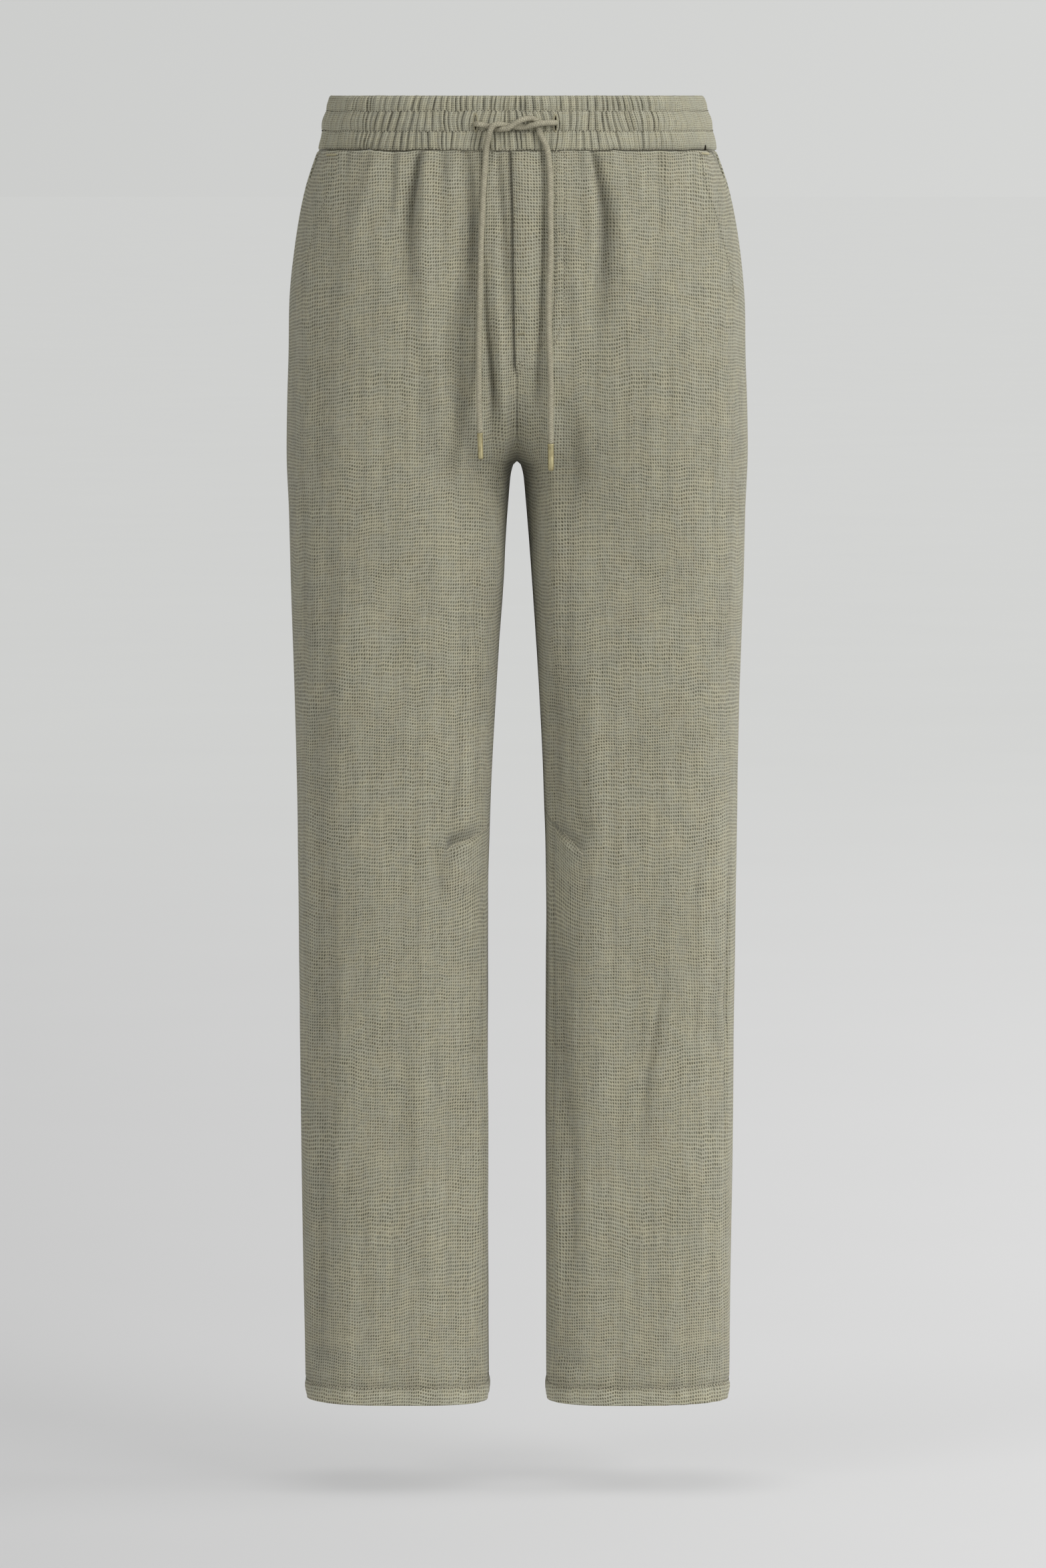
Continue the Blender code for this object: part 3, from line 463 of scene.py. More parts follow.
BRAID_RELIEF = 0.16
TurnedRow = namedtuple("TurnedRow", "along radius")
LEFT_AGLET, RIGHT_AGLET = (20.8, 4.3), (21.6, 4.9)  # length, diameter
AGLET_SIDES = 40
BUTTONHOLES = {"left": (30.4, -21.6), "right": (-32.6, -21.2)}
WORKED_HALF_WIDTH, WORKED_HALF_HEIGHT = 1.35, 7.0  # the middle of the buttonhole's worked rim
WORKED_WIDTH, WORKED_STEP, WORKED_THREAD = 1.2, 0.3, 0.2
SLIT_HALF_WIDTH, SLIT_HALF_HEIGHT = 0.75, 6.0
POCKET_NOTCH = (150.0, -41.2, 0.6, 2.6)  # x, z, half width, half height

# Sewing
STITCH, STITCH_GAP, THREAD = 2.4, 0.65, 0.5
HOLE_LENGTH, HOLE_WIDTH = 0.7, 0.75
LIFT = 0.35  # how far a thread's middle lies above the cloth
ON_BAND_LIFT = 0.6
TACK_LIFT, TACK_WIDTH, TACK_STEP, TACK_THREAD = 0.8, 1.6, 0.36, 0.26
DART_STITCH, DART_STITCH_GAP, DART_THREAD = 2.3, 0.1, 0.95
HOLE_PATH_STEP = 0.25
BAND_SEWN_ROWS = (-12.0, -27.8, -41.0)
LOW_ROW_SINK = 1.4  # the lowest row lies hidden in the seam at the sides
FLY_BOX = (SewnPoint(-0.6, -210.6), SewnPoint(4.3, -210.6), SewnPoint(4.3, -216.8), SewnPoint(-0.6, -216.8))
FLY_ROWS = (J_INNER, J_OUTER, FLY_BOX[:2], FLY_BOX[1:3], FLY_BOX[2:])
RIGHT_POCKET_ROW = (
    SewnPoint(-142.2, -46.0),
    SewnPoint(-144.2, -59.7),
    SewnPoint(-152.0, -82.0),
    SewnPoint(-162.0, -110.0),
    SewnPoint(-171.0, -150.0),
)
LEFT_POCKET_ROW = (
    SewnPoint(146.0, -45.4),
    SewnPoint(149.1, -71.9),
    SewnPoint(156.0, -92.0),
    SewnPoint(165.0, -122.0),
    SewnPoint(172.5, -158.0),
)
TACKS = (
    (1, (SewnPoint(-0.2, -187.4), SewnPoint(6.4, -186.5))),
    (-1, (SewnPoint(-150.6, -47.0), SewnPoint(-142.6, -46.6))),
    (1, (SewnPoint(146.2, -45.6), SewnPoint(152.6, -46.2))),
)
WEAVE_ACROSS, WEAVE_DOWN = 1.9, 2.7
WEAVE_AT_SIDES = 0.6  # threads for each millimetre at the sides, where there is 1 in front


# Curves, noise and sections


def ease(value):
    value = np.clip(value, 0.0, 1.0)
    return value * value * (3 - 2 * value)


def smooth_column(rows, z, column):
    """A column of a table at each z, on a smooth curve through its rows."""
    heights = np.array([row.z for row in rows], float)
    values = np.array([getattr(row, column) for row in rows], float)
    row = np.arange(len(rows))
    before, after = np.maximum(row - 1, 0), np.minimum(row + 1, len(rows) - 1)
    slopes = (values[after] - values[before]) / (heights[after] - heights[before])
    low = np.clip(np.searchsorted(-heights, -np.asarray(z, float)), 1, len(rows) - 1)
    high = low - 1
    step = heights[low] - heights[high]
    s = np.clip((z - heights[high]) / step, 0.0, 1.0)
    s2, s3 = s * s, s * s * s
    return (
        values[high] * (2 * s3 - 3 * s2 + 1)
        + values[low] * (3 * s2 - 2 * s3)
        + step * slopes[high] * (s3 - 2 * s2 + s)
        + step * slopes[low] * (s3 - s2)
    )


def between(rows, z, column):
    """A column of a table at each z, on straight lines between its rows."""
    heights = np.array([-row.z for row in rows], float)
    return np.interp(-np.asarray(z, float), heights, [getattr(row, column) for row in rows])


def soft_noise(seed, x, y):
    """Smooth noise from -1 to 1 that changes over a distance of about 1."""
    cells = NOISE_CELLS
    grid = np.random.RandomState(seed).uniform(-1, 1, (cells, cells))
    x, y = np.broadcast_arrays(np.asarray(x, float), np.asarray(y, float))
    column, row = np.floor(x).astype(int), np.floor(y).astype(int)
    a, b = ease(x - column), ease(y - row)
    c0, c1, r0, r1 = column % cells, (column + 1) % cells, row % cells, (row + 1) % cells
    upper = grid[r0, c0] * (1 - a) + grid[r0, c1] * a
    lower = grid[r1, c0] * (1 - a) + grid[r1, c1] * a
    return upper * (1 - b) + lower * b


Section = namedtuple("Section", "outer middle inner front back dip end")


def section_at(z):
    """Half of the way round at each z: from the side seam a quarter of an ellipse round middle, and inwards
    from there a part of another that has turned by dip at the centre seam or inseam. end is where that part
    ends, when the outer quarter has a length of 1."""
    z = np.asarray(z, float)
    outer, middle, inner, front, back = (smooth_column(LEVELS, z, column) for column in Level._fields[1:])
    above = z > CROTCH_Z
    valley = np.clip((VALLEY_TOP_Z - z) / (VALLEY_TOP_Z - CROTCH_Z), 0, 1)
    rise = np.clip((CROTCH_Z - z) / ARCH_HEIGHT, 0, 1)
    inner = np.where(above, 0.0, inner * np.sqrt(1 - (1 - rise) ** 2))
    dip = np.where(above, np.arcsin(valley**2), math.pi / 2)
    return Section(outer, middle, inner, front, back, dip, 1 + middle / (outer - middle))


def crease_depth(creases, x, z):
    """How far the creases draw the cloth in at each point."""
    total = np.zeros(np.broadcast(x, z).shape)
    for crease in creases:
        away = x - smooth_column(crease, z, "x")
        width = np.where(away < 0, between(crease, z, "right"), between(crease, z, "left"))
        total += smooth_column(crease, z, "depth") * np.exp(-((away / width) ** 2))
    return total


def fold_depth(folds, x, z):
    """How far the folds draw the cloth in at each point."""
    total = np.zeros(np.broadcast(x, z).shape)
    for fold in folds:
        run_x, run_z = fold.x_low - fold.x_top, fold.z_low - fold.z_top
        long = math.hypot(run_x, run_z)
        along = np.clip(((x - fold.x_top) * run_x + (z - fold.z_top) * run_z) / long**2, 0, 1)
        away_x, away_z = x - fold.x_top - along * run_x, z - fold.z_top - along * run_z
        leans = 1 + fold.lean * np.sign(away_x)
        near = np.exp(-(away_x**2 + away_z**2) / (2 * (fold.width * leans) ** 2))
        rise = fold.head + (1 - fold.head) * ease(along / FOLD_RISE)
        total += fold.depth * near * rise * ease((1 - along) / FOLD_FALL)
    return total


def all_folds(face, x, z):
    """The main folds of the front or the back, held flat at the waistband's seam and let go below it."""
    if face < 0:
        total = crease_depth(FRONT_CREASES, x, z) + fold_depth(FRONT_FOLDS, x, z)
    else:
        total = fold_depth(BACK_FOLDS, x, z)
    return total * (SEAM_HOLD + (1 - SEAM_HOLD) * ease((-BAND_HEIGHT - z) / SEAM_HOLD_DEPTH))


def short_folds(face, x, z):
    """The many little folds that the gathered seam starts in the cloth under the waistband."""
    chance = np.random.RandomState(31 + face)
    total = np.zeros(np.broadcast(x, z).shape)
    spot = -SHORT_FOLD_REACH
    while spot < SHORT_FOLD_REACH:
        spot += chance.uniform(*SHORT_FOLD_SPACING)
        sizes = (SHORT_FOLD_WIDTH, SHORT_FOLD_DEPTH, SHORT_FOLD_LENGTH)
        width, depth, length = (chance.uniform(*span) for span in sizes)
        near = np.exp(-(((x - spot) / width) ** 2))
        total += depth * near * np.exp(-((np.minimum(z + BAND_HEIGHT, 0) / length) ** 2))
    return total


def drape(side, face, x, z):
    """The small waves of hanging cloth, which die out towards the waistband."""
    hang = ease((-BAND_HEIGHT - z) / 60)
    total = np.zeros(np.broadcast(x, z).shape)
    for i, (across, down, height) in enumerate(DRAPE_WAVES):
        seed = 11 + i + 10 * (side > 0) + 20 * (face > 0)
        total += height * soft_noise(seed, x / across + 0.13 * i, z / down)
    return total * hang


def surface(side, face, way, z, sink=0.0, calm=None):
    """Points of the cloth's outer surface. way is how far round they are from the side seam, sink is how far
    under the surface they lie, and calm is the share of the folds and that of the drape, none without it."""
    section = section_at(z)
    depth = section.front if face < 0 else section.back
    outer_turn = way * math.pi / 2
    half = section.outer - section.middle
    square = 1 + SQUARENESS * np.sin(2 * outer_turn) ** 2
    dip = np.maximum(section.dip, 0.001)
    inner_turn = (way - 1) / np.maximum(section.end - 1, 0.001) * dip
    inner_half = (section.middle - section.inner) / np.sin(dip)
    inner_square = 1 + INNER_SQUARENESS[side] * np.sin(2 * inner_turn) ** 2 * ease((CROTCH_Z - 5 - z) / 90)
    outside = way < 1
    x = np.where(
        outside,
        section.middle + half * np.cos(outer_turn) * square,
        section.middle - inner_half * np.sin(inner_turn) * inner_square,
    )
    y = np.where(outside, depth * np.sin(outer_turn) * square, depth * np.cos(inner_turn) * inner_square)
    out_x = np.where(outside, np.cos(outer_turn) / half, -depth * np.sin(inner_turn))
    out_y = np.where(outside, np.sin(outer_turn) / depth, np.maximum(inner_half, 0.001) * np.cos(inner_turn))
    size = np.hypot(out_x, out_y)
    if calm is not None:
        folds = all_folds(face, side * x, z) + short_folds(face, side * x, z)
        sink = sink + folds * calm[0] + drape(side, face, side * x, z) * calm[1]
    x, y = x - out_x / size * sink, y - out_y / size * sink
    return np.stack([side * x, face * y, z + 0 * x], axis=-1)


def mouth_way(z):
    """How far round the pocket mouth is from the side seam, 0 below the pocket."""
    angle = smooth_column(POCKET_MOUTH, z, "from_seam") / section_at(z).front
    return np.maximum(angle, 0.0) / (math.pi / 2)


def way_at(side, face, x, z):
    """How far round a point at x and z is, seen from the front or the back."""
    fine = np.linspace(0, 1, 400)
    found = []
    for one_x, one_z in zip(np.atleast_1d(x), np.atleast_1d(z)):
        ways = fine * float(section_at(one_z).end)
        across = side * surface(side, face, ways, np.full_like(ways, one_z))[:, 0]
        found.append(np.interp(-side * one_x, -across, ways))
    return np.array(found)


# Meshes


def wall_indices(rows, columns, closed=False):
    """The quads of a grid, and the loop of points round its edge."""
    quads = []
    for r in range(rows - 1):
        for c in range(columns if closed else columns - 1):
            a, b = r * columns + c, r * columns + (c + 1) % columns
            quads.append((a, b, b + columns, a + columns))
    rim = list(range(columns)) + [r * columns + columns - 1 for r in range(1, rows)]
    rim += [(rows - 1) * columns + c for c in range(columns - 2, -1, -1)]
    rim += [r * columns for r in range(rows - 2, 0, -1)]
    return quads, rim


def grid_normals(points):
    """The unit normals of a grid of points."""
    normals = np.cross(np.gradient(points, axis=1), np.gradient(points, axis=0))
    return normals / np.maximum(np.linalg.norm(normals, axis=-1, keepdims=True), 1e-9)


def face_corners(mesh):
    """The point at each corner of each face."""
    corners = np.empty(len(mesh.loops), int)
    mesh.loops.foreach_get("vertex_index", corners)
    return corners


def lay_cloth(mesh, uv):
    """Gives each corner of each face its place on the cloth in metres."""
    layer = mesh.uv_layers.new(name="cloth")
    layer.data.foreach_set("uv", np.asarray(uv, np.float32).ravel())


def add_mesh(name, points, faces, material, uv=None):
    """A smooth-shaded mesh of points in millimetres. uv gives each point's place on the cloth in metres."""
    mesh = bpy.data.meshes.new(name)
    mesh.from_pydata((np.asarray(points) * MM).tolist(), [], faces)
    mesh.shade_smooth()
    if uv is not None:
        lay_cloth(mesh, uv[face_corners(mesh)])
    mesh.materials.append(material)
    obj = bpy.data.objects.new(name, mesh)
    bpy.context.scene.collection.objects.link(obj)
    return obj


def cloth_wall(name, outer, thickness, uv, material):
    """A cloth of some thickness under a grid of outer points. uv is in metres."""
    rows, columns = outer.shape[:2]
    normals = grid_normals(outer)
    middle = outer[:, columns // 2]
    if np.sum(normals[:, columns // 2] * (middle * (1, 1, 0) - np.mean(outer * (1, 0, 0), axis=(0, 1)))) < 0:
        normals = -normals
    inner = outer - normals * np.reshape(thickness, (-1, 1, 1))
    inner[0, :, 2], inner[-1, :, 2] = outer[0, :, 2], outer[-1, :, 2]
    quads, rim = wall_indices(rows, columns)
    size = rows * columns
    faces = quads + [tuple(size + i for i in reversed(quad)) for quad in quads]
    faces += [(a, a + size, b + size, b) for a, b in zip(rim, rim[1:] + rim[:1])]
    a, b, _, d = (outer.reshape(-1, 3)[i] for i in quads[len(quads) // 2])
    if np.dot(np.cross(b - a, d - a), normals.reshape(-1, 3)[quads[len(quads) // 2][0]]) < 0:
        faces = [tuple(reversed(face)) for face in faces]
    points = np.concatenate([outer.reshape(-1, 3), inner.reshape(-1, 3)])
    return add_mesh(name, points, faces, material, np.concatenate([uv.reshape(-1, 2)] * 2))


def store_painted_shade(obj, values):
    """Gives each point of a piece its painted shade: how much the cloth's colour is darkened there as if in
    shade.
    """
    layer = obj.data.attributes.new("painted_shade", "FLOAT", "POINT")
    layer.data.foreach_set("value", np.asarray(values, np.float32).ravel())
    return obj


def cloth_uv(points, down, zero):
    """Places on the cloth: across from the column position zero of each row, and down. The weave is a little
    wider where the cloth turns away to the side."""
    run = np.diff(points[..., :2], axis=1)
    steps = np.maximum(np.abs(run[..., 0]), WEAVE_AT_SIDES * np.linalg.norm(run, axis=-1))
    across = np.concatenate([np.zeros((len(points), 1)), np.cumsum(steps, axis=1)], axis=1)
    columns = np.arange(points.shape[1])
    start = [np.interp(z, columns, line) for z, line in zip(zero, across)]
    return np.stack([across - np.reshape(start, (-1, 1)), -down], axis=-1) * MM


# Shaders


class Value:
    """A socket of a material's nodes. Sums on it add Math nodes."""

    def __init__(self, shader, socket):
        self.shader, self.socket = shader, socket

    def math(self, operation, *others):
        inputs = dict(enumerate((self, *others)))
        return self.shader.node("ShaderNodeMath", {"operation": operation}, inputs)

    def __add__(self, other):
        return self.math("ADD", other)

    def __sub__(self, other):
        return self.math("SUBTRACT", other)

    def __mul__(self, other):
        return self.math("MULTIPLY", other)

    def __truediv__(self, other):
        return self.math("DIVIDE", other)

    def __rsub__(self, other):
        return self.math("MULTIPLY", -1.0).math("ADD", other)

    __radd__, __rmul__ = __add__, __mul__


class Shader:
    """A material and its nodes."""

    def __init__(self, name, roughness, metallic=0.0, gloss=0.0):
        self.material = bpy.data.materials.new(name)
        self.material.use_nodes = True
        self.tree = self.material.node_tree
        self.surface = self.tree.nodes["Principled BSDF"]
        self.surface.inputs["Roughness"].default_value = roughness
        self.surface.inputs["Metallic"].default_value = metallic
        self.surface.inputs["Specular IOR Level"].default_value = gloss

    def node(self, kind, settings=None, inputs=None, output=0):
        """One node: its settings, then its sockets' values or links. Returns one of its outputs."""
        made = self.tree.nodes.new(kind)
        for key, value in (settings or {}).items():
            setattr(made, key, value)
        for key, value in (inputs or {}).items():
            if isinstance(value, Value):
                self.tree.links.new(value.socket, made.inputs[key])
            else:
                made.inputs[key].default_value = value
        return Value(self, made.outputs[output])

    def split(self, vector):
        parts = self.node("ShaderNodeSeparateXYZ", inputs={0: vector}).socket.node
        return [Value(self, socket) for socket in parts.outputs]

    def join(self, x, y, z=0.0):
        return self.node("ShaderNodeCombineXYZ", inputs={0: x, 1: y, 2: z})

    def noise(self, vector, scale, detail=2.0, roughness=0.5):
        inputs = {"Vector": vector, "Scale": scale, "Detail": detail, "Roughness": roughness}
        return self.node("ShaderNodeTexNoise", inputs=inputs)

    def mix(self, share, a, b):
        """The colour a where share is 0 and b where it is 1."""
        settings = {"data_type": "RGBA", "clamp_factor": True}
        return self.node("ShaderNodeMix", settings, {0: share, 6: a, 7: b}, output=2)

    def plain(self, colour):
        """A colour that is the same all over."""
        made = self.node("ShaderNodeRGB")
        made.socket.default_value = colour
        return made

    def step(self, value, low, high):
        """0 below low, 1 above high and smooth between."""
        settings = {"interpolation_type": "SMOOTHSTEP"}
        inputs = {"Value": value, "From Min": low, "From Max": high, "To Min": 0.0, "To Max": 1.0}
        return self.node("ShaderNodeMapRange", settings, inputs)

    def brighten(self, colour, share):
        """The colour times share, a value near 1."""
        grey = self.join(share, share, share)
        return self.node("ShaderNodeVectorMath", {"operation": "MULTIPLY"}, {0: colour, 1: grey})

    def finish(self, colour, height=None, depth=0.0, roughness=None):
        links = self.tree.links
        links.new(colour.socket, self.surface.inputs["Base Color"])
        if roughness is not None:
            links.new(roughness.socket, self.surface.inputs["Roughness"])
        if height is not None:
            bump = self.node("ShaderNodeBump", inputs={"Height": height, "Distance": depth, "Strength": 1.0})
            links.new(bump.socket, self.surface.inputs["Normal"])
        return self.material


THREAD_COLOUR = (0.386, 0.368, 0.266, 1)
COOL_THREAD_COLOUR = (0.364, 0.356, 0.272, 1)
# painted shade: the dark colours of the weave's sunken cells
CELL_SHADE_COLOUR = (0.100, 0.092, 0.060, 1)
WARM_CELL_SHADE_COLOUR = (0.142, 0.115, 0.072, 1)
NAP, NAP_ROUGHNESS = 0.18, 0.5  # the sheen of the cloth's short fluff
SEWING_COLOUR = (0.44, 0.415, 0.32, 1)
BUTTONHOLE_COLOUR = (0.47, 0.43, 0.29, 1)
CORD_LIGHT = (0.372, 0.350, 0.262, 1)
# painted shade in the braid's grooves
CORD_GROOVE_SHADE = (0.19, 0.172, 0.118, 1)
BRASS_LIGHT = (0.40, 0.355, 0.20, 1)
BRASS_DARK = (0.24, 0.20, 0.10, 1)
# painted shade inside slits and stitch holes
SLIT_SHADE_COLOUR = (0.016, 0.014, 0.010, 1)


def waffle_material(name, bright=1.0, cells=1.0, across_pitch=WEAVE_ACROSS, painted_shading=0.34, streaks=1.0):
    """Waffle-weave cotton: light threads raised in rows with a small sunken cell in each square, painted dark
    as painted shade. cells is how strongly that painted shade of the cells shows, hollows is how much darker
    the painted shade of folds, valleys and corners makes the cloth, and streaks is how far the threads stray
    and how strong the painted light and shade of small creases is."""
    shader = Shader(name, 0.92)
    shader.surface.inputs["Sheen Weight"].default_value = NAP
    shader.surface.inputs["Sheen Roughness"].default_value = NAP_ROUGHNESS
    uv = shader.node("ShaderNodeTexCoord", output="UV")
    u, v, _ = shader.split(uv)
    wander = shader.noise(uv, 70.0, 2.0) - 0.5
    sway = shader.noise(uv, 9.0, 1.0) - 0.5
    ripple = shader.noise(shader.join(u * 55.0, v * 6.0), 1.0, 2.0) - 0.5
    # painted light and shade of small creases: long narrow streaks down the cloth
    streak = shader.noise(shader.join(u * 150.0, v * 6.0), 1.0, 2.0) - 0.5
    down = v / (WEAVE_DOWN * MM) + wander * 0.7 + (sway * 9.0 + ripple * 2.2) * streaks
    b = down.math("FRACT") - 0.5
    across = u / (across_pitch * MM) + wander * 0.9 + b * 0.34
    a = across.math("FRACT") - 0.5
    cell_place = shader.join(across.math("FLOOR"), down.math("FLOOR"))
    each = shader.node("ShaderNodeTexWhiteNoise", {"noise_dimensions": "2D"}, {"Vector": cell_place})
    second = shader.node("ShaderNodeTexWhiteNoise", {"noise_dimensions": "3D"}, {"Vector": cell_place})
    size = (each - 0.5) * 0.5
    beside, above = a.math("ABSOLUTE"), b.math("ABSOLUTE")
    from_middle = (beside / 0.33).math("POWER", 2.2) + (above / 0.36).math("POWER", 2.4)
    fluff = shader.noise(uv, 1900.0, 2.0, 0.65)
    cell = 1.0 - shader.step(from_middle + size + (fluff - 0.5) * 0.9, 0.35, 1.15)
    # painted shade: darker colour and stronger cells where folds, valleys and corners would be in shade
    painted_shade = shader.node("ShaderNodeAttribute", {"attribute_name": "painted_shade"}, output=2)
    # random patches where the cells' painted shade is lighter
    depth = shader.step(shader.noise(uv, 42.0, 2.0), 0.3, 0.7) * 0.22 + 0.78
    cell = cell * depth * (0.78 + second * 0.22) * (cells + painted_shade * (1.0 - cells)).math("MINIMUM", 1.0)
    row = shader.step(above, 0.2, 0.44)
    knots = shader.step(beside + above, 0.55, 0.95) * second
    slub_down = shader.noise(shader.join(u * 520.0, v * 25.0), 1.0, 1.0)
    slub_across = shader.noise(shader.join(u * 25.0, v * 370.0), 1.0, 1.0)
    patches = shader.noise(uv, 16.0, 3.0, 0.55)
    tint = shader.step(shader.noise(uv, 55.0, 2.0) + (second - 0.5) * 0.3, 0.35, 0.65)
    warm = shader.step(shader.noise(uv, 38.0, 2.0) + (each - 0.5) * 0.3, 0.4, 0.75)
    shade = (slub_down - 0.5) * 0.2 + (slub_across - 0.5) * 0.2 + (patches - 0.5) * 0.12
    # painted highlights: the rows of raised threads and their crossings are made lighter
    shade = shade + (fluff - 0.5) * 0.6 + row * 0.02 + knots * 0.18
    shade = shade + streak * (0.34 * streaks) + (bright - 0.07)
    # painted shade darkens the whole colour there
    shade = shade * (1.0 - painted_shade * painted_shading)
    thread = shader.mix(tint, COOL_THREAD_COLOUR, THREAD_COLOUR)
    gap = shader.mix(warm, CELL_SHADE_COLOUR, WARM_CELL_SHADE_COLOUR)
    colour = shader.mix(cell, thread, gap)
    height = (1.0 - cell) + row * 0.15 + (fluff - 0.5) * 0.7 + knots * 0.3
    return shader.finish(shader.brighten(colour, shade), height, 0.0006)


def thread_material(name, colour):
    """Matt sewing thread."""
    shader = Shader(name, 0.8)
    place = shader.node("ShaderNodeTexCoord", output="Object")
    fluff = shader.noise(place, 1600.0, 2.0)
    return shader.finish(shader.brighten(shader.plain(colour), fluff * 0.5 + 0.75), fluff, 0.0001)


def braid_material(name):
    """Round braid: strands that wind both ways over and under each other, with painted shade in the grooves
    between them. u is the length along the cord in metres and v goes from 0 to 1 round it."""
    shader = Shader(name, 0.85)
    uv = shader.node("ShaderNodeTexCoord", output="UV")
    u, v, _ = shader.split(uv)
    turn = u / (BRAID_PITCH * MM) * STRANDS
    one = (turn + v * STRANDS).math("FRACT") - 0.5
    other = (turn - v * STRANDS).math("FRACT") - 0.5
    groove = one.math("ABSOLUTE").math("MAXIMUM", other.math("ABSOLUTE"))
    # painted shade: the grooves between the strands
    dark = shader.step(groove, 0.34, 0.5)
    strand = shader.join((turn + v * STRANDS).math("FLOOR"), (turn - v * STRANDS).math("FLOOR"))
    each = shader.node("ShaderNodeTexWhiteNoise", {"noise_dimensions": "2D"}, {"Vector": strand})
    fluff = shader.noise(uv, 1300.0, 2.0, 0.65)
    patches = shader.noise(uv, 60.0, 2.0)
    shade = 1.0 + (fluff - 0.5) * 0.8 + (patches - 0.5) * 0.15 + (each - 0.5) * 0.2
    colour = shader.mix(dark * 0.75, CORD_LIGHT, CORD_GROOVE_SHADE)
    height = (1.0 - dark) + (fluff - 0.5) * 0.5
    return shader.finish(shader.brighten(colour, shade), height, 0.00022)


def brass_material(name):
    """Brushed brass, darker where it has been handled less."""
    shader = Shader(name, 0.5, 0.7, 0.5)
    place = shader.node("ShaderNodeTexCoord", output="Object")
    x, y, z = shader.split(place)
    brushed = shader.noise(shader.join(x * 300.0, y * 300.0, z * 4000.0), 1.0, 2.0)
    stain = shader.noise(place, 260.0, 3.0, 0.6)
    colour = shader.mix(shader.step(stain, 0.4, 0.75), BRASS_LIGHT, BRASS_DARK)
    rough = 0.42 + stain * 0.2
    return shader.finish(colour, brushed, 0.00003, rough)


def dark_material(name):
    """The inside of a slit, where hardly any light comes."""
    shader = Shader(name, 1.0)
    place = shader.node("ShaderNodeTexCoord", output="Object")
    fluff = shader.noise(place, 1200.0, 2.0)
    return shader.finish(shader.brighten(shader.plain(SLIT_SHADE_COLOUR), fluff + 0.5), fluff, 0.0001)


# Camera, light and floor


def place_camera():
    data = bpy.data.cameras.new("camera")
    data.sensor_width = SENSOR
    data.lens = SENSOR * CAMERA_AWAY / SEEN_HEIGHT
    data.clip_end = 200.0
    camera = bpy.data.objects.new("camera", data)
    bpy.context.scene.collection.objects.link(camera)
    camera.location = (CAMERA_X, -CAMERA_AWAY, 0.0)
    camera.rotation_euler = (math.pi / 2 - CAMERA_TILT, 0.0, 0.0)
    bpy.context.scene.camera = camera


Sun = namedtuple("Sun", "name strength softness azimuth height")  # angles in degrees, azimuth from the front
SUNS = (
    Sun("window_right", 2.3, 34, 47, 20),
    Sun("window_left", 1.25, 30, -46, 18),
    Sun("side_right", 1.0, 30, 88, 42),
    Sun("overhead", 0.35, 40, 10, 76),
    Sun("behind", 1.2, 40, 158, 24),
)
SHADOWLESS = "behind"  # this one would shade the floor in front
SKY = 0.10
SIDEWAYS = 0.1  # painted light: the background and floor brighten to the right as far as this share of the distance
BACKGROUND = (0.64, 0.645, 0.635, 1)  # what the camera sees past the floor
FLOOR_Z, FLOOR_REACH = -1119.0, 90.0
FLOOR_COLOUR = (0.23, 0.23, 0.23, 1)
FLOOR_GLOW = 0.434  # the floor's own light, which keeps the shadows on it pale
Shadow = namedtuple("Shadow", "x y wide deep")
# painted shadows on the floor, one under each leg
SHADOWS = (Shadow(-0.118, 0.0, 0.105, 0.085), Shadow(0.128, 0.0, 0.105, 0.085))


def floor_material():
    """A pale studio floor with a painted soft shadow under each leg, painted lighter towards the right."""
    shader = Shader("floor_paint", 0.95)
    place = shader.node("ShaderNodeTexCoord", output="Object")
    x, y, _ = shader.split(place)
    shade = None
    for spot in SHADOWS:
        off_x, off_y = (x - spot.x) / spot.wide, (y - spot.y) / spot.deep
        far = (off_x * off_x + off_y * off_y).math("SQRT")
        dark = 1.0 - shader.step(far, 0.15, 1.15)
        shade = dark if shade is None else shade + dark
    grain = shader.noise(place, 3.0, 2.0) * 0.02 + 0.99
    distance = (x * x + y * y).math("SQRT")
    far = shader.step(distance, 1.0, 9.0)
    sideways = x / (y + CAMERA_AWAY).math("MAXIMUM", 6.0)
    sideways = sideways.math("MINIMUM", SIDEWAYS).math("MAXIMUM", -SIDEWAYS)
    # painted shadows and painted light on the floor's colour and glow
    share = (1.0 - shade * 0.11) * grain * (1.0 + sideways * (1.6 - far * 1.2))
    glow = shader.mix(far, (FLOOR_GLOW, FLOOR_GLOW, FLOOR_GLOW, 1), BACKGROUND)
    shader.tree.links.new(shader.brighten(glow, share).socket, shader.surface.inputs["Emission Color"])
    shader.surface.inputs["Emission Strength"].default_value = 1.0
    paint = shader.mix(far, FLOOR_COLOUR, (0.0, 0.0, 0.0, 1))
    return shader.finish(shader.brighten(paint, share))


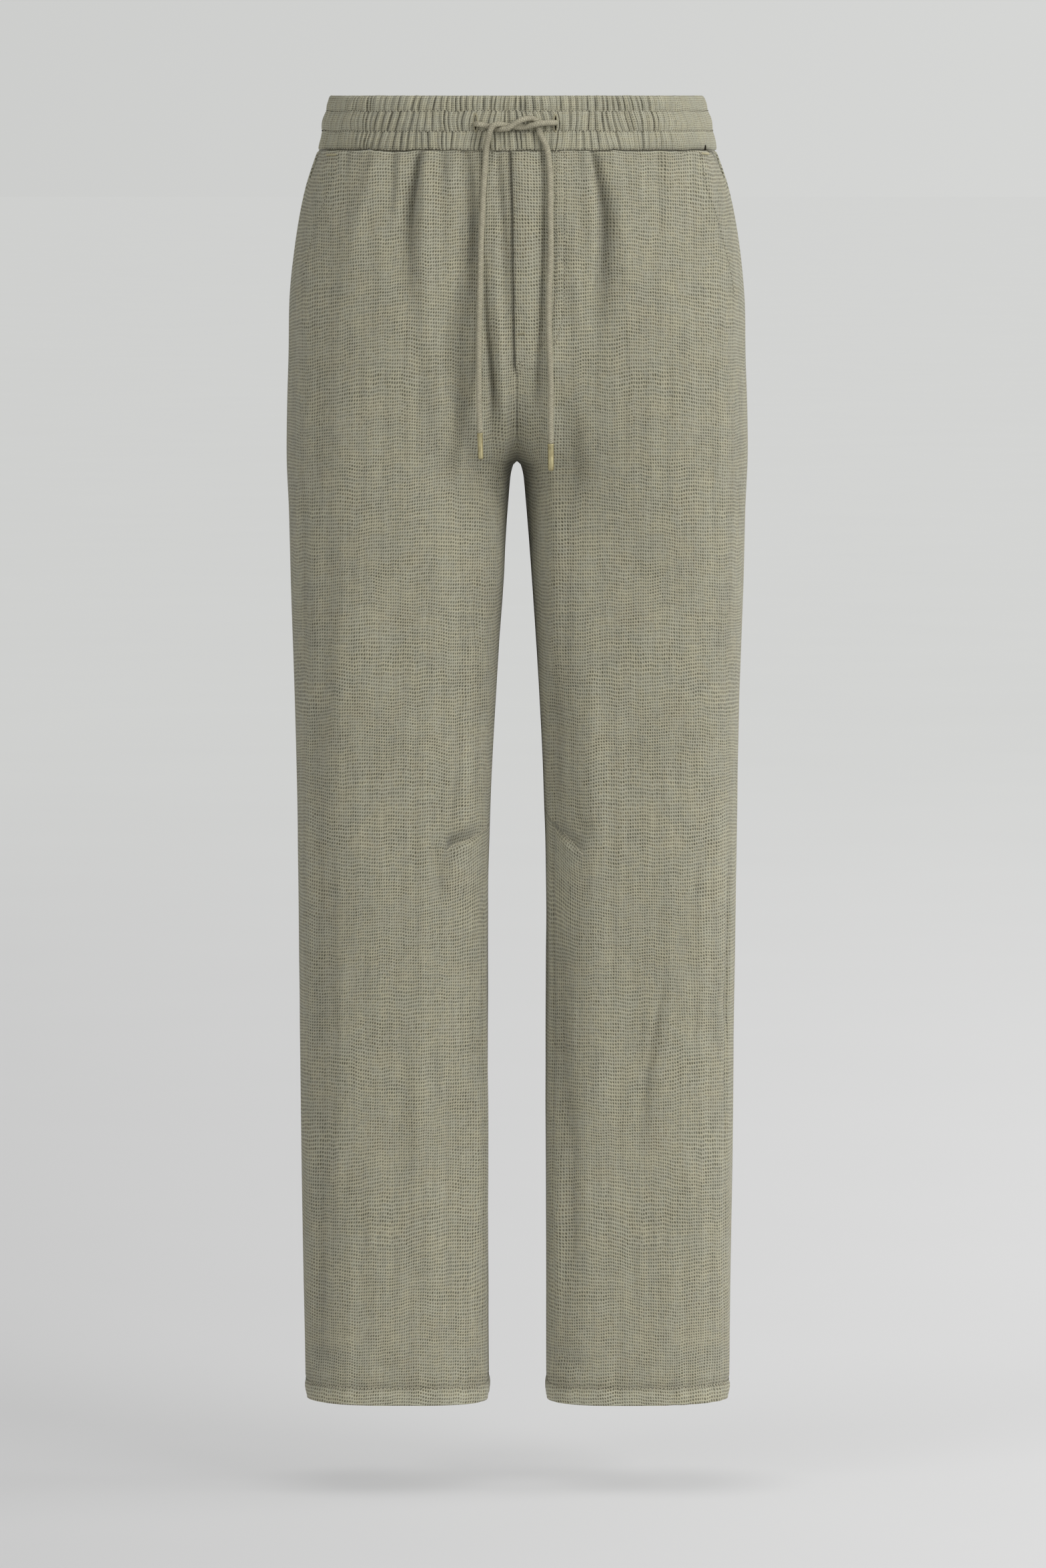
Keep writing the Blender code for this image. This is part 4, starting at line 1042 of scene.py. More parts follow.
def light_the_room():
    scene = bpy.context.scene
    scene.view_settings.view_transform = "Standard"
    for sun in SUNS:
        data = bpy.data.lights.new(sun.name, "SUN")
        data.energy, data.angle = sun.strength, math.radians(sun.softness)
        data.use_shadow = sun.name != SHADOWLESS
        lamp = bpy.data.objects.new(sun.name, data)
        scene.collection.objects.link(lamp)
        turn, rise = math.radians(sun.azimuth), math.radians(sun.height)
        towards = Vector((math.sin(turn) * math.cos(rise), -math.cos(turn) * math.cos(rise), math.sin(rise)))
        lamp.rotation_euler = towards.to_track_quat("Z", "Y").to_euler()
    world = bpy.data.worlds.new("sky")
    world.use_nodes = True
    tree = world.node_tree
    sky = tree.nodes["Background"]
    sky.inputs["Color"].default_value, sky.inputs["Strength"].default_value = (1, 1, 1, 1), SKY
    kinds = ("Background", "LightPath", "MixShader", "TexCoord", "SeparateXYZ")
    seen, rays, mix, place, turn = (tree.nodes.new(f"ShaderNode{kind}") for kind in kinds)
    tree.links.new(place.outputs["Generated"], turn.inputs[0])
    source = turn.outputs["X"]
    # the background that the camera sees is painted brighter to the right
    for operation, value in (("MINIMUM", SIDEWAYS), ("MAXIMUM", -SIDEWAYS), ("MULTIPLY", 0.75), ("ADD", 1.0)):
        ramp = tree.nodes.new("ShaderNodeMath")
        ramp.operation, ramp.inputs[1].default_value = operation, value
        tree.links.new(source, ramp.inputs[0])
        source = ramp.outputs[0]
    tree.links.new(ramp.outputs[0], seen.inputs["Strength"])
    seen.inputs["Color"].default_value = BACKGROUND
    tree.links.new(rays.outputs["Is Camera Ray"], mix.inputs[0])
    tree.links.new(sky.outputs[0], mix.inputs[1])
    tree.links.new(seen.outputs[0], mix.inputs[2])
    tree.links.new(mix.outputs[0], tree.nodes["World Output"].inputs[0])
    scene.world = world
    reach = FLOOR_REACH / MM
    corners = [(reach * x, reach * y, FLOOR_Z) for x, y in ((-1, -1), (1, -1), (1, 1), (-1, 1))]
    add_mesh("floor", corners, [(0, 1, 2, 3)], floor_material())


# Drawstring


def smooth_curve(route, steps=24):
    """Closely spaced points on a curve through the route, its speed following the spacing."""
    ends = [2 * route[0] - route[1], *route, 2 * route[-1] - route[-2]]
    fine = []
    for p0, p1, p2, p3 in zip(ends, ends[1:], ends[2:], ends[3:]):
        d0, d1, d2 = ((b - a).length ** 0.5 for a, b in ((p0, p1), (p1, p2), (p2, p3)))
        m1 = (p2 - p1) + d1 * ((p1 - p0) / d0 - (p2 - p0) / (d0 + d1))
        m2 = (p2 - p1) + d1 * ((p3 - p2) / d2 - (p3 - p1) / (d1 + d2))
        for i in range(steps):
            s = i / steps
            s2, s3 = s * s, s * s * s
            fine.append(
                p1 * (2 * s3 - 3 * s2 + 1) + m1 * (s3 - 2 * s2 + s) + p2 * (3 * s2 - 2 * s3) + m2 * (s3 - s2)
            )
    fine.append(route[-1])
    return fine


def evenly(points, step):
    """Points along a line at even steps."""
    points = np.array(points)
    lengths = np.concatenate([[0], np.cumsum(np.linalg.norm(np.diff(points, axis=0), axis=1))])
    spots = np.linspace(0, lengths[-1], max(2, round(lengths[-1] / step)) + 1)
    return np.stack([np.interp(spots, lengths, points[:, k]) for k in range(3)], axis=1), lengths[-1]


def tube_frames(line):
    """Two directions across a line at each of its points, turning as little as they can."""
    along = np.gradient(line, axis=0)
    along /= np.linalg.norm(along, axis=1, keepdims=True)
    across = [np.cross(along[0], (0.0, 1.0, 0.0))]
    for direction in along[1:]:
        side = across[-1] - direction * np.dot(across[-1], direction)
        across.append(side / np.linalg.norm(side))
    across = np.array(across)
    across[0] /= np.linalg.norm(across[0])
    return along, across, np.cross(along, across)


def braided_cord(name, vias, into_band, material):
    """The cord along its route, from inside the buttonhole to its end. Returns it, its line in metres and its
    length in metres."""
    route = [Vector(point) for point in (*into_band, *vias)]
    line, length = evenly([tuple(p) for p in smooth_curve(route)], CORD_STEP)
    _, across, other = tube_frames(line)
    angles = 2 * math.pi * np.arange(CORD_SIDES) / CORD_SIDES
    travelled = np.linspace(0, length, len(line))
    turn = travelled[:, None] / BRAID_PITCH * STRANDS
    round_it = angles[None, :] / (2 * math.pi) * STRANDS
    one, two = np.abs((turn + round_it) % 1 - 0.5), np.abs((turn - round_it) % 1 - 0.5)
    relief = BRAID_RELIEF * (1 - (2 * np.maximum(one, two)) ** 3) - BRAID_RELIEF / 2
    radius = CORD_DIAMETER / 2 + relief
    spokes = across[:, None] * np.cos(angles)[None, :, None] + other[:, None] * np.sin(angles)[None, :, None]
    points = line[:, None] + spokes * radius[..., None]
    rings, sides = points.shape[:2]
    quads, _ = wall_indices(rings, sides, closed=True)
    faces = [tuple(reversed(quad)) for quad in quads]
    faces += [tuple(range(sides)), tuple(reversed(range((rings - 1) * sides, rings * sides)))]
    obj = add_mesh(name, points.reshape(-1, 3), faces, material)
    corners = face_corners(obj.data)
    ring, spot = corners // sides, corners % sides
    starts = [p.loop_start for p in obj.data.polygons]
    first, last = np.minimum.reduceat(spot, starts), np.maximum.reduceat(spot, starts)
    wraps = np.repeat((first == 0) & (last == sides - 1), [p.loop_total for p in obj.data.polygons])
    round_share = np.where(wraps & (spot == 0), sides, spot) / sides
    lay_cloth(obj.data, np.stack([travelled[ring] * MM, round_share], axis=1))
    return obj, line * MM, length * MM


def aglet_profile(length, radius):
    return (
        TurnedRow(0.0, radius - 0.1),
        TurnedRow(0.15, radius + 0.15),
        TurnedRow(0.4, radius + 0.25),
        TurnedRow(1.1, radius + 0.25),
        TurnedRow(1.35, radius + 0.12),
        TurnedRow(1.6, radius),
        TurnedRow(length * 0.5, radius),
        TurnedRow(length - radius * 0.8, radius),
        TurnedRow(length - radius * 0.5, radius * 0.94),
        TurnedRow(length - radius * 0.25, radius * 0.8),
        TurnedRow(length - radius * 0.08, radius * 0.55),
        TurnedRow(length, radius * 0.25),
    )


def aglet(name, size, line, material):
    """A brass end in line with the cord's last stretch."""
    length, diameter = size
    end, before = line[-1] / MM, line[-8] / MM
    along = (end - before) / np.linalg.norm(end - before)
    across = np.cross(along, (0.0, 1.0, 0.0))
    across /= np.linalg.norm(across)
    other = np.cross(along, across)
    angles = 2 * math.pi * np.arange(AGLET_SIDES) / AGLET_SIDES
    spokes = across * np.cos(angles)[:, None] + other * np.sin(angles)[:, None]
    start = end + along * SEAM_GAP
    rows = [start + along * row.along + spokes * row.radius for row in aglet_profile(length, diameter / 2)]
    quads, _ = wall_indices(len(rows), AGLET_SIDES, closed=True)
    last = (len(rows) - 1) * AGLET_SIDES
    faces = [tuple(reversed(quad)) for quad in quads]
    faces += [tuple(range(AGLET_SIDES)), tuple(reversed(range(last, last + AGLET_SIDES)))]
    return add_mesh(name, np.concatenate(rows), faces, material)


# Legs


def panel_rows():
    """Each row's height at the side seam and at the inner edge."""
    rows = [(SPANS[0].top, SPANS[0].top)]
    for span in SPANS:
        for i in range(1, span.steps + 1):
            share = i / span.steps
            inner = share**span.crowding_top if span.crowding_top > 1 else share
            if span.crowding_low > 1:
                inner = 1 - (1 - share) ** span.crowding_low
            drop = span.low - span.top
            rows.append((span.top + drop * share, span.top + drop * inner))
    return np.array(rows)


def column_shares(count):
    """Columns across a panel, closer together at its two edges."""
    edge = np.array(EDGE_SHARES)
    inside = np.linspace(edge[-1] + EDGE_STEP, 1 - edge[-1] - EDGE_STEP, count)
    return np.concatenate([edge, inside, 1 - edge[::-1]])


def line_distance(line, x, z):
    """The distance of points from a line of sewn points, negative below it, and how far along they are."""
    best, above, along = np.full(np.shape(x), 1e9), np.zeros(np.shape(x)), np.zeros(np.shape(x))
    for i, (a, b) in enumerate(zip(line, line[1:])):
        run_x, run_z = b.x - a.x, b.z - a.z
        long2 = run_x**2 + run_z**2
        share = np.clip(((x - a.x) * run_x + (z - a.z) * run_z) / long2, 0, 1)
        away = np.hypot(x - a.x - share * run_x, z - a.z - share * run_z)
        sign = np.sign(((z - a.z) * run_x - (x - a.x) * run_z) * np.sign(run_x))
        nearer = away < best
        best = np.where(nearer, away, best)
        above = np.where(nearer, sign, above)
        along = np.where(nearer, (i + share) / (len(line) - 1), along)
    return best * above, along


def sewn_sink(side, face, x, z):
    """How far the sewing draws the cloth in: the hem's stitching and the fly's J."""
    sink = HEM_DRAW * np.exp(-(((z - HEM_Z - HEM_TURNING) / 1.6) ** 2))
    sink -= HEM_ROLL * np.exp(-(((z - HEM_Z - HEM_TURNING / 2) / 5.0) ** 2))
    if face < 0 and side > 0:
        for line in (J_INNER, J_OUTER):
            away, along = line_distance(line, x, z)
            sink += 0.5 * np.exp(-((away / 1.1) ** 2))
            sink += 0.5 * soft_noise(81, along * 34, away / 12) * np.exp(-((away / 5.0) ** 2))
    return sink


def dart_sink(side, x, z):
    """The knee dart: the cloth above its seam stands back, and the cloth below rolls over it."""
    away, along = line_distance(DARTS[side], x, z)
    taper = ease((1 - along) / 0.35)
    above = np.where(away > 0, np.exp(-((np.abs(away) / DART_REACH) ** 1.4)), np.exp(-((away / 1.3) ** 2)))
    roll = 1.3 * np.exp(-(((away + 3.6) / 2.8) ** 2))
    return (DART_STEP * above - roll) * taper * ease((np.abs(x) - DART_EDGE[0]) / DART_EDGE[1])


def dart_shade(side, x, z):
    """How much painted shade a place gets by the dart: a dark corner above its seam."""
    away, along = line_distance(DARTS[side], x, z)
    strong, up = DART_SHADES[side]
    corner = np.exp(-(((away - up) / (up + 1.8)) ** 2)) * (away > 0)
    return strong * corner * ease(along / 0.5) * ease((1 - along) / 0.12)


def dart_tilt(side, x, z):
    """How far the crosswise threads below a dart rise, because the dart has taken up cloth above them."""
    away, _ = line_distance(DARTS[side], x, z)
    reach = np.clip((DART_TILT_OUTER - np.abs(x)) / DART_TILT_WIDTH, 0, 1.4)
    return DART_TILT[side] * reach**1.5 * ease(-away / 1.5) * ease((away + 95) / DART_TILT_DOWN)


def seam_wander(face, x):
    """How the waistband's lower seam wanders up and down along its length."""
    x = np.asarray(x)
    wander = sum(height * soft_noise(seed + face, x / spacing, 0.5) for seed, spacing, height in SEAM_WAVES)
    return -SEAM_DROP + wander * ease((150 - np.abs(x)) / 20)


def fly_rise(side, face, x, z):
    """How far the fly's lap stands out over the panel."""
    if face > 0 or side < 0:
        return 0.0 * x
    return FLY_LIFT * ease((z - FLY_LOW_Z) / 6) * (1 - ease((x - FLY_FLAT_X) / FLY_FLAT_WIDTH))


def hem_corner(from_side, z):
    """How far the hem's corner draws in at the side seam."""
    low = ease((HEM_Z + HEM_CORNER_HEIGHT - z) / HEM_CORNER_HEIGHT)
    return HEM_CORNER * low**2 * np.exp(-((from_side / HEM_CORNER_WIDTH) ** 2))


def grain_fall(side, face, x, z):
    """How far the crosswise threads lie below a level line."""
    outside = np.clip((np.abs(x) - GRAIN_X) / (WIDEST_X - GRAIN_X), 0, 1)
    fall = GRAIN_FALL * (0.15 + 0.85 * ease((z + 520) / 400)) * outside**2
    return fall - dart_tilt(side, x, z) if face < 0 else fall


def panel_painted_shade(side, face, x, z, calm):
    """How much painted shade each place of a panel gets: in its folds, just above the hem's stitching, in the
    corner above the dart and along the edge of the fly's lap, with painted light on the turned hem.
    """
    seam_z = HEM_Z + HEM_TURNING
    painted_shade = np.clip((all_folds(face, x, z) * calm - 1.0) / 6.0, 0, 1)
    # painted shade just above the hem's stitching, and painted light on the turned hem below it
    painted_shade += 0.35 * np.exp(-(((z - seam_z - 3) / 3.5) ** 2)) - 0.3 * ease((seam_z - 2 - z) / 3)
    if face < 0:
        painted_shade += dart_shade(side, x, z)
    if face < 0 and side < 0:
        # painted shadow along the edge of the fly's lap, on the right front under it
        under = ease((z - FLY_LOW_Z) / 4)
        painted_shade += 1.6 * under * np.exp(-(((x - between(FLY_LAP, z, "x") + 1.0) / 1.6) ** 2))
    return painted_shade


def leg_panel(name, side, face, material):
    """Half of the front or of the back, from the waistband to the hem."""
    heights = panel_rows()
    shares = column_shares(FRONT_COLUMNS if face < 0 else BACK_COLUMNS)
    z = heights[:, :1] + (heights[:, 1:] - heights[:, :1]) * shares[None, :] ** 2
    end = section_at(z).end
    start = mouth_way(z) if face < 0 else np.zeros_like(z)
    way = start + (end - start) * shares[None, :]
    base = surface(side, face, way, z)
    x = base[..., 0]
    steps = np.linalg.norm(np.diff(base, axis=1), axis=-1)
    arc = np.concatenate([np.zeros((len(z), 1)), np.cumsum(steps, axis=1)], axis=1)
    from_side, from_inner = arc, arc[:, -1:] - arc
    joined = ease((CROTCH_Z + 14 - z) / 20)  # below the crotch the inner edge is an inseam
    pocket = ease(start / 0.02) if face < 0 else 0.0
    side_calm = np.maximum(ease(from_side / SEAM_CALM), pocket)
    calm = side_calm * (1 - joined * (1 - ease(from_inner / SEAM_CALM)))
    drape_calm = side_calm * ease(from_inner / SEAM_CALM)
    turned = SEAM_TURN * (1 - 0.55 * pocket) * np.exp(-((from_side / SEAM_ROUND) ** 2))
    lap = ease((z - FLY_LOW_Z) / 6) if face < 0 and side > 0 else 0.0 * z
    turned = turned + SEAM_TURN * np.exp(-((from_inner / SEAM_ROUND) ** 2)) * (1 - 0.4 * lap)
    turned += 1.3 * np.exp(-(((-BAND_HEIGHT - SEAM_GAP - z) / 1.3) ** 2))
    turned += sewn_sink(side, face, x, z) - fly_rise(side, face, x, z) + hem_corner(from_side, z)
    if face < 0:
        turned += dart_sink(side, x, z)
    points = surface(side, face, way, z, turned, (calm, drape_calm))
    lap_x = between(FLY_LAP, z, "x") * lap
    if face < 0 and side > 0:
        points[..., 0] = np.maximum(points[..., 0] + lap_x * (1 - ease(x / 24)), lap_x)
    else:
        points[..., 0] = side * np.maximum(side * points[..., 0], 0)
    points[..., 1] = face * np.maximum(face * points[..., 1], 0)
    to_middle = points[:, -1:, 0] - (lap_x if face < 0 and side > 0 else 0.0 * z)[:, -1:]
    points[..., 0] -= to_middle * np.exp(-((from_inner / 4.0) ** 2)) * (1 - ease((CROTCH_Z - z) / 4))
    points[..., 2] += seam_wander(face, x) * ease((z + BAND_HEIGHT + 10) / 10)
    hem = ease((HEM_Z + HEM_TURNING - z[:, 0]) / 1.5)
    thickness = CLOTH + (HEM_CLOTH - CLOTH) * hem
    zero = [np.interp(-GRAIN_X, -np.abs(row), np.arange(len(row))) for row in x]
    uv = cloth_uv(base, z + grain_fall(side, face, x, z), zero)
    # painted shade of the panel's folds, hem, dart and fly
    painted_shade = panel_painted_shade(side, face, x, z, calm)
    return store_painted_shade(cloth_wall(name, points, thickness, uv, material), [painted_shade, painted_shade])


def pocket_facing(name, side, material):
    """The cloth behind the slanted mouth, from under the front panel's edge to just past the side seam."""
    rows, columns = FACING_ROWS, FACING_COLUMNS
    heights = np.linspace(POCKET_MOUTH[0].z - 2 * SEAM_GAP, POCKET_MOUTH[-1].z, rows)
    z = heights[:, None] + np.zeros((1, columns))
    quarter = math.pi / 2
    reach = mouth_way(z) + FACING_UNDER / section_at(z).front / quarter
    behind = FACING_BEHIND / section_at(z).back / quarter
    way = -behind + (reach + behind) * np.linspace(0, 1, columns)[None, :]
    front = surface(side, -1, np.abs(way), z, FACING_INSET)
    back = surface(side, 1, np.abs(way), z, FACING_INSET)
    points = np.where((way > 0)[..., None], front, back)
    uv = cloth_uv(points, z, np.zeros(rows))
    # painted shade on the facing just behind the mouth, under the front panel's edge
    behind_mouth = (mouth_way(z) - way) * quarter * section_at(z).front
    shade = POCKET_SHADE * np.exp(-((np.maximum(behind_mouth, 0) / 5.0) ** 2))
    return store_painted_shade(cloth_wall(name, points, np.full(rows, CLOTH), uv, material), [shade, shade])


# Waistband


Gathers = namedtuple("Gathers", "turns arc base valleys ridges depths sways skews")


def make_gathers():
    """The gathers round the band: its length at each turn and where the ribs begin, then for each channel
    where the valleys lie, how high each rib is, how deep each valley is, its sway and each rib's skew."""
    turns = np.linspace(0, 2 * math.pi, RING_STEPS + 1)
    outer, front = between(LEVELS, -BAND_HEIGHT / 2, "outer"), between(LEVELS, -BAND_HEIGHT / 2, "front")
    spots = np.stack([outer * np.cos(turns), front * np.sin(turns)], axis=1)
    arc = np.concatenate([[0], np.cumsum(np.linalg.norm(np.diff(spots, axis=0), axis=1))])
    chance = np.random.RandomState(5)
    spots = [0.0]
    while spots[-1] < arc[-1]:
        turn = np.interp(spots[-1], arc, turns)
        fine = float(ease((-math.cos(turn) - 0.70) / 0.2) * (math.sin(turn) < 0.3))
        spots.append(spots[-1] + GATHER_WIDTH * (1 - 0.42 * fine) * chance.uniform(*GATHER_SPREAD))
    base = np.array(spots) / spots[-1] * arc[-1]
    count = len(base) - 1
    i = np.arange(count)
    valleys, ridges, depths, sways, skews = [], [], [], [], []
    for channel in range(3):
        jitter = chance.uniform(-0.7, 0.7, count) + 0.5 * np.sin(i * 0.31 + channel * 2)
        valleys.append(base[:-1] + jitter)
        ridges.append(chance.uniform(*RIB_HEIGHTS, count))
        deep = chance.uniform(0, 1, count) < DEEP_VALLEYS
        depths.append(np.where(deep, chance.uniform(*VALLEY_DEPTHS, count), SHALLOW_VALLEY))
        lean = (0.5, 1.3, 1.1)[channel] * np.sin(i * 0.43 + channel) + chance.uniform(-0.4, 0.4, count)
        bow = (0.1, 1.0, 0.3)[channel] * np.sin(i * 0.27 + 1) + chance.uniform(-0.3, 0.3, count)
        sways.append((lean, bow))
        skews.append(chance.uniform(*RIB_SKEWS, count))
    return Gathers(turns, arc, base, valleys, ridges, depths, sways, skews)


def gather_form(distance, z, gathers):
    """At distances round the band at one height: how far the gathers stand out, how much painted shade each
    place gets in the valleys between them, and the place along the cloth."""
    channel = min(2, sum(z < edge - 1e-6 for edge in CHANNEL_EDGES[1:3]))
    top, low = CHANNEL_EDGES[channel], CHANNEL_EDGES[channel + 1]
    level = (z - (top + low) / 2) / ((top - low) / 2)
    lean, bow = gathers.sways[channel]
    length = gathers.arc[-1]
    lines = np.sort(gathers.valleys[channel] + lean * level + bow * (1 - level**2))
    lines = np.concatenate([lines, lines[:1] + length])
    spot = (distance - lines[0]) % length + lines[0]
    rib = np.clip(np.searchsorted(lines, spot, side="right") - 1, 0, len(lines) - 2)
    after = (rib + 1) % (len(lines) - 1)
    share = np.clip((spot - lines[rib]) / (lines[rib + 1] - lines[rib]), 0, 1)
    crest = 1 - np.abs(2 * share ** gathers.skews[channel][rib] - 1) ** 2.3
    depths = gathers.depths[channel]
    deep = depths[rib] * (1 - share) + depths[after] * share
    form = RIB_SHARE * gathers.ridges[channel][rib] * crest - VALLEY_SHARE * deep * (1 - crest)
    own = (gathers.base[rib] + share * (gathers.base[rib + 1] - gathers.base[rib])) * GATHER_FULLNESS
    return form, deep * (1 - crest) ** 1.5, own


def band_heights():
    """The heights of the band's rows of points, from the top edge down."""
    heights = []
    for top, low in zip(CHANNEL_EDGES, CHANNEL_EDGES[1:]):
        share = (1 - np.cos(np.linspace(0, math.pi, CHANNEL_ROWS + 1))) / 2
        heights += list(top + (low - top) * share)[:-1]
    return np.array([*heights, CHANNEL_EDGES[-1]])


def band_point(turn, z, stand_out):
    """Points at turns round the band, some way out from its plain surface."""
    outer = between(LEVELS, z, "outer")
    depth = np.where(np.sin(turn) < 0, between(LEVELS, z, "front"), between(LEVELS, z, "back"))
    out = np.stack([np.cos(turn) / outer, np.sin(turn) / depth, 0 * turn], axis=-1)
    out /= np.linalg.norm(out, axis=-1, keepdims=True)
    spot = np.stack([outer * np.cos(turn), depth * np.sin(turn), z + 0 * turn], axis=-1)
    return spot + out * (stand_out + 0 * turn)[..., None]


def gather_strength(turn, x, z):
    """The share of the gathers round the band: weaker where the cloth lies smooth at the wearer's left side
    and in the fine ribs of the right side, and nearly none at a buttonhole."""
    cos = np.cos(turn)
    share = 1 - 0.8 * ease((cos - 0.66) / 0.16) * (np.sin(turn) < 0.4) - 0.55 * ease((-cos - 0.76) / 0.14)
    for hole_x, hole_z in BUTTONHOLES.values():
        near = np.exp(-(((x - hole_x) / 3.2) ** 2) - ((z - hole_z) / 9.0) ** 4)
        share = share * (1 - 0.9 * near * (np.sin(turn) < 0))
    return share


def band_outside(distance, z, gathers, lift=0.0):
    """Points of the band's outer surface at distances round it, all at one height, how much painted shade each
    place gets and its place along the cloth. lift is how far out from the surface the points stand."""
    turn = np.interp(distance % gathers.arc[-1], gathers.arc, gathers.turns)
    form, painted_shade, own = gather_form(distance, z, gathers)
    ends = ease((np.abs(np.cos(turn)) - 0.84) / 0.12)
    puff = smooth_column(BAND_ROWS, z, "puff") * (1 - 0.25 * ends)
    strength = smooth_column(BAND_ROWS, z, "gather")
    strength = strength * gather_strength(turn, BAND_HALF_WIDTH * np.cos(turn), z)
    pinch = sum(high * soft_noise(seed, distance / along, z / down) for seed, along, down, high in PINCHES)
    slim = 1.3 * np.exp(-(((z + 34) / 6) ** 2)) * ease((-np.cos(turn) - 0.9) / 0.1)
    points = band_point(turn, z, puff + pinch - slim + GATHER_DEPTH * strength * form + lift)
    x = points[..., 0]
    points[..., 2] += np.where(np.sin(turn) < 0, seam_wander(-1, x), seam_wander(1, x)) * ease((-30 - z) / 12)
    points[..., 2] += 0.5 * soft_noise(73, distance / 10.0, z / 40.0) * ease(-z / 8) * ease((z + 36) / 8)
    points[..., 2] += (0.7 * form * strength + 0.35 * soft_noise(74, distance / 6.0, 0.3)) * ease((z + 3) / 3)
    return points, painted_shade * strength, own


def waistband(name, gathers, material):
    """A closed ring of gathered cloth, plain inside."""
    distance = gathers.arc[-1] * np.arange(BAND_COLUMNS) / BAND_COLUMNS
    heights = band_heights()
    outer, painted_shading, owns = zip(*(band_outside(distance, z, gathers) for z in heights))
    turns = np.interp(distance, gathers.arc, gathers.turns)
    insides = [band_point(turns, z, -BAND_INSIDE) for z in BAND_INSIDE_ROWS]
    lip = band_point(turns, BAND_LIP_Z, -BAND_LIP)
    points = np.concatenate([np.stack(outer), np.stack([*insides, lip])])
    count, columns = points.shape[:2]
    quads, _ = wall_indices(count, columns, closed=True)
    last = (count - 1) * columns
    quads += [(last + c, last + (c + 1) % columns, (c + 1) % columns, c) for c in range(columns)]
    obj = add_mesh(name, points.reshape(-1, 3), [tuple(reversed(quad)) for quad in quads], material)
    corners = face_corners(obj.data)
    own = np.concatenate([np.stack(owns), np.repeat(owns[-1][None], count - len(heights), axis=0)])
    down = np.concatenate([[0], np.cumsum(np.linalg.norm(np.diff(points[:, 0], axis=0), axis=1))])
    across = own.reshape(-1)[corners].reshape(-1, 4)
    whole = gathers.base[-1] * GATHER_FULLNESS
    across = np.where(across.max(axis=1, keepdims=True) - across > whole / 2, across + whole, across)
    drop = down[corners // columns].reshape(-1, 4)
    drop = np.where(drop.max(axis=1, keepdims=True) - drop > down[-1] / 2, drop + down[-1] + 2.4, drop)
    lay_cloth(obj.data, np.stack([drop.reshape(-1) * BAND_DOWN, across.reshape(-1)], axis=1) * MM)
    # painted shade in the valleys of the gathers, none inside
    return store_painted_shade(obj, np.concatenate([*painted_shading, np.zeros((count - len(heights)) * columns)]))


# Sewing


def sewing_tree(name, satin):
    """Geometry nodes: separate stitches along paths, or with satin one thread that follows them."""
    tree = bpy.data.node_groups.new(name, "GeometryNodeTree")
    tree.interface.new_socket("Geometry", in_out="INPUT", socket_type="NodeSocketGeometry")
    for socket, value in (("Stitch", STITCH), ("Gap", STITCH_GAP), ("Thread", THREAD)):
        made = tree.interface.new_socket(socket, in_out="INPUT", socket_type="NodeSocketFloat")
        made.default_value = value * MM
    tree.interface.new_socket("Finish", in_out="INPUT", socket_type="NodeSocketMaterial")
    tree.interface.new_socket("Geometry", in_out="OUTPUT", socket_type="NodeSocketGeometry")
    given, result = tree.nodes.new("NodeGroupInput"), tree.nodes.new("NodeGroupOutput")

    def add(kind, settings=None, links=None):
        node = tree.nodes.new(kind)
        for key, value in (settings or {}).items():
            setattr(node, key, value)
        for key, value in (links or {}).items():
            if isinstance(value, bpy.types.NodeSocket):
                tree.links.new(value, node.inputs[key])
            else:
                node.inputs[key].default_value = value
        return node

    path, stitch, gap, thick, finish = (given.outputs[i] for i in range(5))
    if satin:
        ring = add("GeometryNodeCurvePrimitiveCircle", links={"Resolution": 6, "Radius": thick})
        links = {"Curve": path, "Profile Curve": ring.outputs["Curve"], "Fill Caps": True}
        shape = add("GeometryNodeCurveToMesh", links=links).outputs["Mesh"]
    else:
        pitch = add("ShaderNodeMath", {"operation": "ADD"}, {0: stitch, 1: gap}).outputs[0]
        spots = add("GeometryNodeCurveToPoints", {"mode": "LENGTH"}, {"Curve": path, "Length": pitch})
        bead = add("GeometryNodeMeshUVSphere", links={"Segments": 8, "Rings": 6, "Radius": 0.5})
        vary = add("FunctionNodeRandomValue", {"data_type": "FLOAT"}, {2: 0.86, 3: 1.08, "Seed": 7})
        long = add("ShaderNodeMath", {"operation": "MULTIPLY"}, {0: stitch, 1: vary.outputs[1]})
        size = add("ShaderNodeCombineXYZ", links={0: thick, 1: thick, 2: long.outputs[0]})
        links = {
            "Points": spots.outputs["Points"],
            "Instance": bead.outputs["Mesh"],
            "Rotation": spots.outputs["Rotation"],
            "Scale": size.outputs[0],
        }
        shape = add("GeometryNodeInstanceOnPoints", links=links).outputs["Instances"]
    real = add("GeometryNodeRealizeInstances", links={0: shape})
    smooth = add("GeometryNodeSetShadeSmooth", links={0: real.outputs[0]})
    painted = add("GeometryNodeSetMaterial", links={0: smooth.outputs[0], "Material": finish})
    tree.links.new(painted.outputs[0], result.inputs[0])
    return tree


